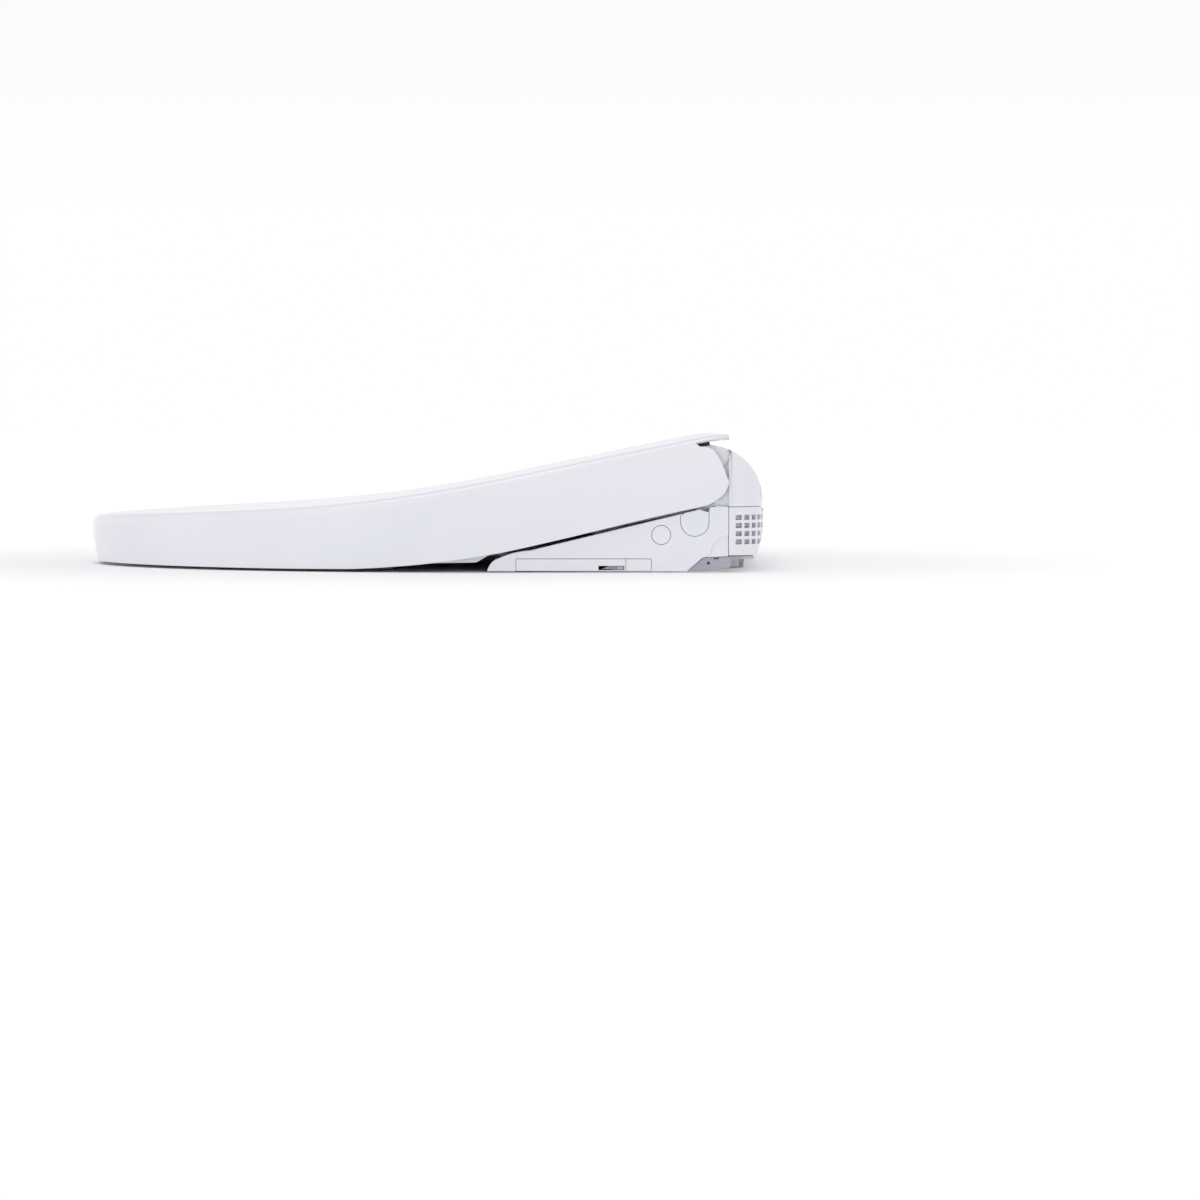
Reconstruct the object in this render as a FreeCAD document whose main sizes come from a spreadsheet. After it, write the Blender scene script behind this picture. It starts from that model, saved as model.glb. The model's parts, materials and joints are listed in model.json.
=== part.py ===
import FreeCAD, Part
import math
import os
import re
import Sketcher
from FreeCAD import Placement, Rotation, Vector

# Electric bidet seat, millimetres. The origin is midway between the two mounting bolts, on the face
# that rests on the bowl. +Z is up, -Y points to the nose of the lid, +X is the sitter's left.

doc = FreeCAD.newDocument("BidetSeat")

SIZES = {
    # hinge line shared by seat and lid
    "hingeY": 8, "hingeZ": 52, "shaftRadius": 3.5, "runningGap": 0.06, "softGap": 0.4,
    # lid
    "lidHalfWidth": 193, "noseReach": 473, "lidEggLength": 330, "lidWall": 3, "lidRise": 48.2,
    "lidSlope": 11.5, "lidBendReach": 150, "lidMidReach": 300, "lidMidZ": 47,
    "lidFrontZ": 39, "lidNoseRadius": 8, "lidEdgeZ": 2, "lidLipY": 22, "lidLipZ": 101.7,
    "lidSideGap": 1.5, "lidBossRadius": 6.5, "lidBossLength": 5.5,
    # wedge line of the side arms
    "armReach": 154.8, "armBendReach": 123, "armBendZ": 16, "armSlope": 13.6,
    "armTopZ": 48.3, "shellWall": 2.5, "seamGap": 0.3, "armWidth": 31.5,
    "recessDepth": 1.3,
    # seat
    "seatInset": 4, "seatWall": 3, "seatRimZ": 7, "seatFrontZ": 31,
    "seatMidZ": 40, "seatRearZ": 62, "seatRearReach": 84, "seatArmWidth": 16,
    "seatEyeRadius": 10, "padGap": 0.0452, "seatSideWidth": 81, "seatNoseWidth": 68, "openRearReach": 149,
    "reliefHalfWidth": 46, "reliefZ": 40,
    # top cover
    "domeRadius": 41.5, "coverReach": 78,
    "coverBaseZ": 16.3, "domeSeamZ": 48.3, "domeFrontY": 21, "rearY": 50.3, "cornerRadius": 32,
    "rearBaseZ": 12.3, "cheekWidth": 2.6, "cheekReach": 12,
    # bottom case
    "caseFloorZ": 8, "noseCaseReach": 118, "noseCaseHalf": 40,
    "noseCaseZ": 3, "noseCaseTopZ": 35.5, "armFloorZ": 2, "bracketWidth": 4,
    # mounting kit
    "plateThickness": 7, "plateHalfWidth": 110, "plateFront": 52, "plateDepth": 90,
    "boltSpacing": 140, "boltRadius": 4, "slotLength": 34, "bushingRadius": 7.5,
    "bushingLength": 42,
    # nozzle
    "wandTilt": 24, "portReach": 112, "portZ": 12, "wandRadius": 7, "wandLength": 140,
    "guideSize": 26, "pinionRadius": 5, "pinionStation": 36,
    # trim on the side arms
    "capReach": 26.3, "capZ": 27.4, "capRadius": 6.9, "hingeCoverReach": 1.5,
    "hingeCoverZ": 36.9, "hingeCoverRadius": 10.3, "doorReach": 133.4, "doorLength": 80.8,
    "doorTopZ": 9.6, "serviceCapLength": 18.5, "latchSlot": 20, "buttonRadius": 5,
    "buttonPitch": 18, "buttonReach": 92, "buttonZ": 13,
    # fans
    "dryerRadius": 26, "deodorRadius": 26, "fanGap": 1.5, "fanBlades": 12,
}

ALONG_X = Rotation(Vector(0, 1, 0), 90)
ALONG_Y = Rotation(Vector(1, 0, 0), -90)
ALONG_Z = Rotation()
SIDE_VIEW = Rotation(Vector(1, 1, 1), 120)

sheet = doc.addObject("Spreadsheet::Sheet", "Sizes")
for row, (alias, value) in enumerate(SIZES.items(), 1):
    sheet.set(f"A{row}", alias)
    sheet.set(f"B{row}", str(value))
    sheet.setAlias(f"B{row}", alias)
doc.recompute()

# Stations across the width, all measured in from the outer face of the body.
FACE = "(lidHalfWidth - lidWall - lidSideGap)"
DERIVED = {
    "armInnerX": FACE + " - armWidth",
    "coverHalfWidth": FACE + " - armWidth - 1",
    "caseHalfWidth": FACE + " - armWidth - 7",
    "seatArmX": FACE + " - armWidth + 3",
    "bracketX": FACE + " - lidBossLength - bracketWidth",
    "inletX": FACE + " - armWidth + 6",
    "trayX": FACE + " - armWidth + 6",
    "trayZ": "armFloorZ + shellWall + 0.4",
    "glandX": "caseHalfWidth - 30",
    "deodoriserX": "caseHalfWidth - 42",
    "lidFrontReach": "noseReach - 18",
    "openHalfWidth": "lidHalfWidth - lidWall - seatInset - seatSideWidth",
    "openHalfLength": "(noseReach - seatNoseWidth - openRearReach) / 2",
    "openReach": "(noseReach - seatNoseWidth + openRearReach) / 2",
}

nodes = []


def formula(text):
    """Turns plain size names into cells of the sheet."""
    def cell(word):
        name = word.group()
        if name in DERIVED:
            return "(" + formula(DERIVED[name]) + ")"
        return "Sizes." + name if name in SIZES else name
    return re.sub(r"[A-Za-z]\w*", cell, str(text))


def number(text):
    return float(sheet.evalExpression(formula(text)))


def bind(thing, **values):
    for name, text in values.items():
        thing.setExpression(name, formula(text))


def place(thing, x=0, y=0, z=0, turn=ALONG_Z):
    thing.Placement = Placement(Vector(number(x), number(y), number(z)), turn)
    for name, text in zip(("x", "y", "z"), (x, y, z)):
        thing.setExpression("Placement.Base." + name, formula(text))
    return thing


def box(name, x0, x1, y0, y1, z0, z1):
    thing = doc.addObject("Part::Box", name)
    bind(thing, Length=f"({x1}) - ({x0})", Width=f"({y1}) - ({y0})", Height=f"({z1}) - ({z0})")
    return place(thing, x0, y0, z0)


def cylinder(name, radius, length, x, y, z, turn=ALONG_Z):
    thing = doc.addObject("Part::Cylinder", name)
    bind(thing, Radius=radius, Height=length)
    return place(thing, x, y, z, turn)


def cone(name, radius1, radius2, length, x, y, z, turn=ALONG_Z):
    thing = doc.addObject("Part::Cone", name)
    bind(thing, Radius1=radius1, Radius2=radius2, Height=length)
    return place(thing, x, y, z, turn)


def fuse(name, *shapes):
    thing = doc.addObject("Part::MultiFuse", name)
    thing.Shapes = list(shapes)
    thing.Refine = True
    return thing


def cut(name, base, *tools):
    thing = doc.addObject("Part::Cut", name)
    thing.Base = base
    thing.Tool = tools[0] if len(tools) == 1 else fuse(name + "_cutters", *tools)
    return thing


def common(name, *shapes):
    thing = doc.addObject("Part::MultiCommon", name)
    thing.Shapes = list(shapes)
    return thing


def group(name, *shapes):
    thing = doc.addObject("Part::Compound", name)
    thing.Links = list(shapes)
    return thing


def mirrored(name, source):
    thing = doc.addObject("Part::Mirroring", name)
    thing.Source = source
    thing.Normal = Vector(1, 0, 0)
    return thing


def node(name, thing):
    thing.Label = name
    nodes.append(thing)
    return thing


def edge_of(start, end):
    """One edge of an outline: straight, or an arc when the start carries a signed radius."""
    a, b = Vector(start[0], start[1], 0), Vector(end[0], end[1], 0)
    if len(start) == 2:
        return Part.LineSegment(a, b)
    radius = start[2]
    chord = b - a
    rise = math.sqrt(radius ** 2 - chord.Length ** 2 / 4)
    side = Vector(-chord.y, chord.x, 0).normalize() * math.copysign(rise, radius)
    centre = (a + b) * 0.5 + side
    ends = [math.atan2(p.y - centre.y, p.x - centre.x) for p in (a, b)]
    if radius < 0:
        ends.reverse()
    return Part.ArcOfCircle(Part.Circle(centre, Vector(0, 0, 1), abs(radius)), *ends)


def outline(name, points, turn=SIDE_VIEW):
    """Closed sketch: each point is held by its two coordinates, each arc by its radius."""
    sketch = doc.addObject("Sketcher::SketchObject", name)
    sketch.Placement = Placement(Vector(), turn)
    values = [[number(text) for text in point] for point in points]
    after = values[1:] + values[:1]
    starts = [2 if len(value) > 2 and value[2] < 0 else 1 for value in values]
    for value, end in zip(values, after):
        sketch.addGeometry(edge_of(value, end))
    for index, point in enumerate(points):
        follower = (index + 1) % len(points)
        sketch.addConstraint(Sketcher.Constraint(
            "Coincident", index, 3 - starts[index], follower, starts[follower]))
        for kind, text, value in zip(("DistanceX", "DistanceY"), point, values[index]):
            key = sketch.addConstraint(Sketcher.Constraint(kind, -1, 1, index, starts[index], value))
            sketch.setExpression(f"Constraints[{key}]", formula(text))
        if len(point) > 2:
            key = sketch.addConstraint(Sketcher.Constraint("Radius", index, abs(values[index][2])))
            sketch.setExpression(f"Constraints[{key}]", formula(str(point[2]).lstrip("-")))
    return sketch


def slab(name, points, x0, x1):
    """A side outline (Y, Z) drawn out from x0 to x1."""
    thing = doc.addObject("Part::Extrusion", name)
    thing.Base = outline(name + "_outline", points)
    thing.DirMode = "Custom"
    thing.Dir = Vector(1, 0, 0)
    thing.Solid = True
    bind(thing, LengthFwd=f"({x1}) - ({x0})")
    thing.setExpression("Placement.Base.x", formula(x0))
    return thing


def plan(name, points, z0, z1):
    """A plan outline (X, Y) drawn up from z0 to z1."""
    thing = doc.addObject("Part::Extrusion", name)
    thing.Base = outline(name + "_outline", points, ALONG_Z)
    thing.DirMode = "Custom"
    thing.Dir = Vector(0, 0, 1)
    thing.Solid = True
    bind(thing, LengthFwd=f"({z1}) - ({z0})")
    thing.setExpression("Placement.Base.z", formula(z0))
    return thing


def oval(name, half_width, half_length, reach, z0, z1):
    """Upright elliptical cylinder centred reach in front of the bolts."""
    rim = doc.addObject("Part::Ellipse", name + "_rim")
    wide = number(half_width) > number(half_length)
    radii = (half_width, half_length) if wide else (half_length, half_width)
    bind(rim, MajorRadius=radii[0], MinorRadius=radii[1])
    place(rim, 0, f"-({reach})", z0, Rotation(Vector(0, 0, 1), 0 if wide else 90))
    thing = doc.addObject("Part::Extrusion", name)
    thing.Base = rim
    thing.DirMode = "Custom"
    thing.Dir = Vector(0, 0, 1)
    thing.Solid = True
    bind(thing, LengthFwd=f"({z1}) - ({z0})")
    return thing


def egg(name, inset, z0, z1, rear_y):
    """The lid's plan outline, set in by inset: a half oval nose and straight sides."""
    reach = "(noseReach - lidEggLength)"
    front = oval(name + "_nose", f"lidHalfWidth - ({inset})", f"lidEggLength - ({inset})",
                 reach, z0, z1)
    back = box(name + "_back", f"-(lidHalfWidth - ({inset}))", f"lidHalfWidth - ({inset})",
               f"-{reach}", rear_y, z0, z1)
    span = box(name + "_span", "-lidHalfWidth", "lidHalfWidth", "-noseReach - 10", rear_y, z0, z1)
    return common(name, fuse(name + "_whole", front, back), span)


# ---------------------------------------------------------------- lines shared by several pieces
LID_TOP = "hingeZ + lidRise - (lidBendReach + hingeY) * tan(lidSlope)"
PAD_PLACES = [(f"{sign} * ({x})", y) for x, y in ((56, "-noseReach + 43"), ("lidHalfWidth - 47", -235))
              for sign in (-1, 1)]
RELIEF_FRONT = "-openReach + openHalfLength * 0.8"


def arm_line(reach, drop):
    """Height of the arm's sloping top at a reach in front of the bolts, lowered by drop."""
    return f"armBendZ + (armBendReach - ({reach})) * tan(armSlope) - ({drop})"


def arm_outline(wall):
    """Side outline of an arm, set in by wall."""
    return [
        (f"-armReach + ({wall}) * 2", f"0.5 - ({wall}) * 4"),
        ("-7.4", f"0.5 - ({wall}) * 4"),
        ("4.4", f"10.7 - ({wall}) * 4"),
        ("23.3", f"11.6 - ({wall}) * 4"),
        ("23.3", f"armTopZ - ({wall})"),
        (f"9 - ({wall})", f"armTopZ - ({wall})"),
        (f"3 - ({wall})", arm_line("-3", wall)),
        ("-armBendReach", arm_line("armBendReach", f"({wall}) * 1.03"), 60),
        (f"-armReach + 8 + ({wall}) * 0.6", f"10 - ({wall})", 12),
    ]


# ---------------------------------------------------------------- mounting kit
def mounting_kit():
    half = "boltSpacing / 2"
    middle = "plateDepth / 2 - plateFront"
    plate = box("plate_blank", "-plateHalfWidth", "plateHalfWidth", "-plateFront",
                "plateDepth - plateFront", 0, "plateThickness")
    cutters = []
    for sign in (-1, 1):
        x = f"{sign} * {half}"
        cutters.append(box(f"bolt_slot_{sign}", f"{x} - boltRadius - 0.6", f"{x} + boltRadius + 0.6",
                           f"{middle} - slotLength / 2", f"{middle} + slotLength / 2", -1, 4))
        cutters.append(box(f"bushing_relief_{sign}", f"{x} - bushingRadius - 0.8",
                           f"{x} + bushingRadius + 0.8", f"{middle} - slotLength / 2 - 5",
                           f"{middle} + slotLength / 2 + 5", -1, 0.8))
        cutters.append(box(f"clamp_pocket_{sign}", f"{x} - 16", f"{x} + 16",
                           f"{middle} - slotLength / 2 - 9", f"{middle} + slotLength / 2 + 9",
                           3, "plateThickness + 1"))
        edge = f"{sign} * plateHalfWidth"
        cutters.append(box(f"rail_undercut_{sign}", f"{edge} - 6", f"{edge} + 6", "-plateFront - 1",
                           "plateDepth - plateFront + 1", -1, 4))
    node("mounting_plate", cut("mounting_plate_part", plate, *cutters))
    bolts, clamps, bushings, nuts = [], [], [], []
    for sign in (-1, 1):
        x = f"{sign} * {half}"
        shank = cylinder(f"bolt_shank_{sign}", "boltRadius", "bushingLength + 12 + 5.2", x, 0,
                         "-bushingLength - 12")
        head = cylinder(f"bolt_head_{sign}", 7, 1.7, x, 0, 5.2)
        bolts.append(fuse(f"bolt_{sign}", shank, head))
        blank = box(f"clamp_blank_{sign}", f"{x} - 14", f"{x} + 14", -12, 12, 3, 5.1)
        clamps.append(cut(f"clamp_{sign}", blank,
                          cylinder(f"clamp_hole_{sign}", "boltRadius + 0.3", 6, x, 0, 1)))
        sleeve = cylinder(f"bushing_blank_{sign}", "bushingRadius", "bushingLength", x, 0,
                          "-bushingLength")
        bushings.append(cut(f"bushing_{sign}", sleeve, cylinder(
            f"bushing_bore_{sign}", "boltRadius + 0.2", "bushingLength + 2", x, 0,
            "-bushingLength - 1")))
        plug = cone(f"nut_blank_{sign}", 5.5, 7, 10, x, 0, "-bushingLength - 10")
        nuts.append(cut(f"nut_{sign}", plug, cylinder(
            f"nut_bore_{sign}", "boltRadius + 0.1", 14, x, 0, "-bushingLength - 12")))
    node("mounting_bolts", group("mounting_bolts_part", *bolts))
    node("adjuster_plates", group("adjuster_plates_part", *clamps))
    node("expansion_bushings", group("expansion_bushings_part", *bushings))
    node("expansion_nuts", group("expansion_nuts_part", *nuts))


# ---------------------------------------------------------------- main unit shells
def rounded_rear(name, inset, front_y, z0, z1):
    """Plan block as wide as the body, with rounded rear corners."""
    side = f"(lidHalfWidth - lidWall - lidSideGap - ({inset}))"
    rear = f"(rearY - ({inset}))"
    radius = f"(cornerRadius - ({inset}))"
    start = f"{rear} - {radius} - 20"
    block = plan(name + "_block", [
        (f"-{side}", start), (side, start),
        (side, f"{rear} - {radius}", radius), (f"{side} - {radius}", rear),
        (f"-{side} + {radius}", rear, radius), (f"-{side}", f"{rear} - {radius}"),
    ], z0, z1)
    return common(name, block, box(name + "_limit", "-lidHalfWidth", "lidHalfWidth", front_y,
                                   "rearY + 5", z0, z1))


def cover_outline(wall, base):
    """Side outline of the top cover: front wall, sloping top and dome round the hinge line."""
    radius = f"(domeRadius - ({wall}))"
    crest_y = f"hingeY - {radius} * sin(lidSlope)"
    crest_z = f"hingeZ + {radius} * cos(lidSlope)"
    front_z = f"{crest_z} - (coverReach - 5 + {crest_y}) * tan(lidSlope)"
    return [
        (f"-coverReach + ({wall})", base),
        (f"hingeY + {radius}", base),
        (f"hingeY + {radius}", "hingeZ", radius),
        (crest_y, crest_z),
        ("-coverReach + 5", front_z, 7),
        (f"-coverReach + ({wall})", f"{front_z} - 6"),
    ]


def top_cover():
    span = FACE
    outer = slab("cover_block", cover_outline(0, "coverBaseZ"), f"-{span}", span)
    cheeks = [box(f"cover_cheek_{sign}", *[f"{sign} * ({span} - cheekWidth)", f"{sign} * {span}"][::sign],
                  "-cheekReach", "domeFrontY + 5", "armTopZ + seamGap", 120) for sign in (-1, 1)]
    footprint = fuse("cover_footprint", *cheeks,
                     box("cover_middle", "-coverHalfWidth", "coverHalfWidth", "-coverReach - 5",
                         "domeFrontY + 5", 0, 120),
                     rounded_rear("cover_rear", 0, "domeFrontY", "domeSeamZ", 120))
    hollow = slab("cover_hollow", cover_outline("shellWall", 0), f"-{span}", span)
    inside = fuse("cover_inside",
                  box("cover_inside_middle", "-coverHalfWidth + shellWall",
                      "coverHalfWidth - shellWall", "-coverReach - 5", "domeFrontY + 5", -5, 120),
                  rounded_rear("cover_inside_rear", "shellWall", "domeFrontY + shellWall", -5, 120))
    below = box("cover_below_seam", f"-{span}", span, "domeFrontY + shellWall", 60, 0,
                "domeSeamZ")
    cutters = [common("cover_room", hollow, inside), below]
    cutters.append(box("nozzle_door", "-noseCaseHalf - softGap", "noseCaseHalf + softGap",
                       "-coverReach - 1", "-coverReach + 4", 0, 50))
    cutters.append(box("dryer_outlet", -80, -56, "-coverReach - 1", "-coverReach + 4", 17, 29))
    for sign in (-1, 1):
        cutters.append(cylinder(f"shaft_hole_{sign}", "shaftRadius + 0.5", 12,
                                f"{sign} * coverHalfWidth - 6", "hingeY", "hingeZ", ALONG_X))
        ends = [f"{sign} * (coverHalfWidth + 0.5)", f"{sign} * ({span} - cheekWidth)"][::sign]
        cutters.append(box(f"seat_arm_room_{sign}", *ends, "-cheekReach - 1", "domeFrontY + 0.5", 20,
                           100))
        cutters.append(cylinder(f"cheek_hole_{sign}", "lidBossRadius + softGap", 10,
                                f"{sign} * {span} - 5", "hingeY", "hingeZ", ALONG_X))
    cutters.append(box("receiver_hole", "-caseHalfWidth + 24", "-caseHalfWidth + 46", -62, -52, 60,
                       100))
    cutters.append(box("sensor_hole", "caseHalfWidth - 64", "caseHalfWidth - 46", "-coverReach - 1",
                       "-coverReach + 4", 56, 66))
    node("top_cover", cut("top_cover_part", common("cover_outer", outer, footprint), *cutters))
    wide = ("-caseHalfWidth + 20", "-caseHalfWidth + 50")
    lens = common("receiver_lens", slab("receiver_band", cover_outline(0.4, "coverBaseZ"), *wide),
                  box("receiver_fill", "-caseHalfWidth + 24.3", "-caseHalfWidth + 45.7", -61.7, -52.3,
                      60, 100))
    node("receiver_window", cut("receiver_part", lens,
                                slab("receiver_under", cover_outline(2, 0), *wide)))
    node("seat_sensor", box("sensor_part", "caseHalfWidth - 63.7", "caseHalfWidth - 46.3",
                            "-coverReach + 0.4", "-coverReach + 5", 56.3, 65.7))


def rear_panel():
    def profile(wall):
        return [
            ("domeFrontY + 2.6", f"rearBaseZ - ({wall}) * 2"),
            (f"rearY - 5.5 - ({wall})", f"rearBaseZ - ({wall}) * 2"),
            (f"rearY - 1.6 - ({wall})", "rearBaseZ + 12.5"),
            (f"rearY - ({wall})", "rearBaseZ + 21"),
            (f"rearY - ({wall})", "rearBaseZ + 28"),
            (f"rearY - 1.4 - ({wall})", f"domeSeamZ - seamGap"),
            ("domeFrontY + 2.6", f"domeSeamZ - seamGap"),
        ]
    span = FACE
    outer = common("rear_outer", slab("rear_block", profile(0), f"-{span}", span),
                   rounded_rear("rear_footprint", 0, "domeFrontY + 2.6", 0, 60))
    inner = common("rear_inner", slab("rear_hollow", profile("shellWall"), f"-{span}", span),
                   rounded_rear("rear_room", "shellWall", "domeFrontY + 2", -2, 60))
    floors = []
    for sign in (-1, 1):
        ends = [f"{sign} * (caseHalfWidth - 48)", f"{sign} * (inletX + 13)"][::sign]
        floors.append(box(f"rear_floor_{sign}", *ends, "domeFrontY + 4", "rearY - 6", "rearBaseZ",
                          "rearBaseZ + shellWall"))
    shell = cut("rear_shell", outer, inner)
    cutters = []
    for row in range(4):
        for column in range(5):
            slot = box(f"grille_{row}_{column}", 0, "cornerRadius + 6", -2.6, 2.6, 0, 3.6)
            place(slot, "lidHalfWidth - lidWall - lidSideGap - cornerRadius",
                  "rearY - cornerRadius", f"20.5 + {row} * 6",
                  Rotation(Vector(0, 0, 1), 19 + column * 13))
            cutters.append(slot)
    cutters.append(cylinder("gland_hole", 6.2, 14, "-glandX", "rearY - 10", 27, ALONG_Y))
    cutters.append(cylinder("nipple_hole", 11.5, 10, "-inletX", 33, "rearBaseZ - 3"))
    for sign in (-1, 1):
        cutters.append(box(f"bumper_hole_{sign}", f"{sign} * glandX - 6.2", f"{sign} * glandX + 6.2",
                           "rearY - 6", "rearY + 6", 38, 46))
    node("rear_panel", cut("rear_panel_part", fuse("rear_body", shell, *floors), *cutters))
    pads = [box(f"rear_pad_{sign}", f"{sign} * glandX - 6", f"{sign} * glandX + 6", "rearY - 5.5",
                "rearY + 1.3", 38.2, 45.8) for sign in (-1, 1)]
    node("rear_bumpers", group("rear_bumpers_part", *pads))


def arm_shell():
    """Left arm shell before its own holes."""
    face = FACE
    recess = slab("arm_recess", [("3.4", 9), ("24", 9), ("24", 27), ("23.3", 27, 14), ("10.3", 13.7)],
                  f"{face} - recessDepth", f"{face} + 1")
    block = slab("arm_block", arm_outline(0), "armInnerX", face)
    room = slab("arm_room", arm_outline("shellWall"), "armInnerX + shellWall",
                f"{face} - shellWall")
    return cut("arm_shell", block, room, recess,
               box("arm_inner_notch", "armInnerX - 1", "armInnerX + 4", "-coverReach + 6", 24, -1, 13),
               box("seat_arm_notch", "armInnerX - 1", "bracketX + bracketWidth + 2.5",
                   "-seatEyeRadius - 18", 30, 30, 60),
               box("arm_end_open", "armInnerX - 1", f"{face} - shellWall", 15, 30, 8, 60),
               cylinder("lid_boss_notch", "lidBossRadius + 1", 10, f"{face} - 4", "hingeY", "hingeZ",
                        ALONG_X),
               cylinder("cap_hole", "capRadius + seamGap", 6, f"{face} - 4", "-capReach", "capZ",
                        ALONG_X),
               hinge_cover("hinge_cover_hole", "seamGap", f"{face} - 4", face + " + 1"),
               lower_bracket("bracket_hole", "seamGap", f"{face} - 6", face + " + 1"))


def hinge_cover(name, grow, x0, x1):
    radius = f"(hingeCoverRadius + {grow})"
    left, right = f"-hingeCoverReach - {radius}", f"-hingeCoverReach + {radius}"
    tab = slab(name + "_tab", [
        (left, "hingeCoverZ"), (right, "hingeCoverZ"),
        (right, arm_line("hingeCoverReach", "-1.2")), (left, arm_line("hingeCoverReach + 10", "1.5")),
    ], x0, x1)
    return fuse(name, tab, cylinder(name + "_round", radius, f"({x1}) - ({x0})", x0,
                                    "-hingeCoverReach", "hingeCoverZ", ALONG_X))


def lower_bracket(name, grow, x0, x1):
    return slab(name, [
        (f"-7 - {grow}", 0.5), (f"24.6 + {grow}", 3.4), (f"26 + {grow}", f"11.2 + {grow}"),
        ("4.8", f"10.4 + {grow}"),
    ], x0, x1)


def side_panels():
    face = FACE
    shell = arm_shell()
    door = box("door_hole", f"{face} - 4", f"{face} + 1", "-doorReach - seamGap",
               "-doorReach + doorLength + serviceCapLength + seamGap * 2", -1, "doorTopZ + seamGap")
    node("side_panel_left", cut("side_panel_left_part", shell, door))
    holes = [cylinder(f"button_hole_{index}", "buttonRadius + seamGap", 8, f"-{face} - 1",
                      f"-buttonReach + {index} * buttonPitch", "buttonZ", ALONG_X)
             for index in range(3)]
    holes.append(box("release_hole", f"-{face} - 1", f"-{face} + 5", -40.4, -21.6, 4.6, 9.6))
    node("side_panel_right", cut("side_panel_right_part", mirrored("arm_shell_right", shell), *holes))
    cap = cylinder("cap_part", "capRadius", "shellWall", f"{face} - shellWall", "-capReach", "capZ",
                   ALONG_X)
    hinge = common("hinge_cover_part", hinge_cover("hinge_cover_blank", "0", f"{face} - shellWall", face),
                   slab("hinge_cover_limit", arm_outline(0), f"{face} - shellWall - 1", f"{face} + 1"))
    hinge = cut("hinge_cover_trimmed", hinge, cylinder(
        "cover_boss_notch", "lidBossRadius + 1", 10, f"{face} - 4", "hingeY", "hingeZ", ALONG_X))
    bracket = lower_bracket("bracket_part", "0", f"{face} - 5.5", f"{face} - 1")
    for name, piece in (("screw_caps", cap), ("hinge_covers", hinge), ("lower_brackets", bracket)):
        node(name, group(name + "_part", piece, mirrored(name + "_right", piece)))
    node("service_cap", box("service_cap_part", f"{face} - shellWall", face,
                            "-doorReach + doorLength + seamGap",
                            "-doorReach + doorLength + serviceCapLength + seamGap", 0.8, "doorTopZ"))


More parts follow.
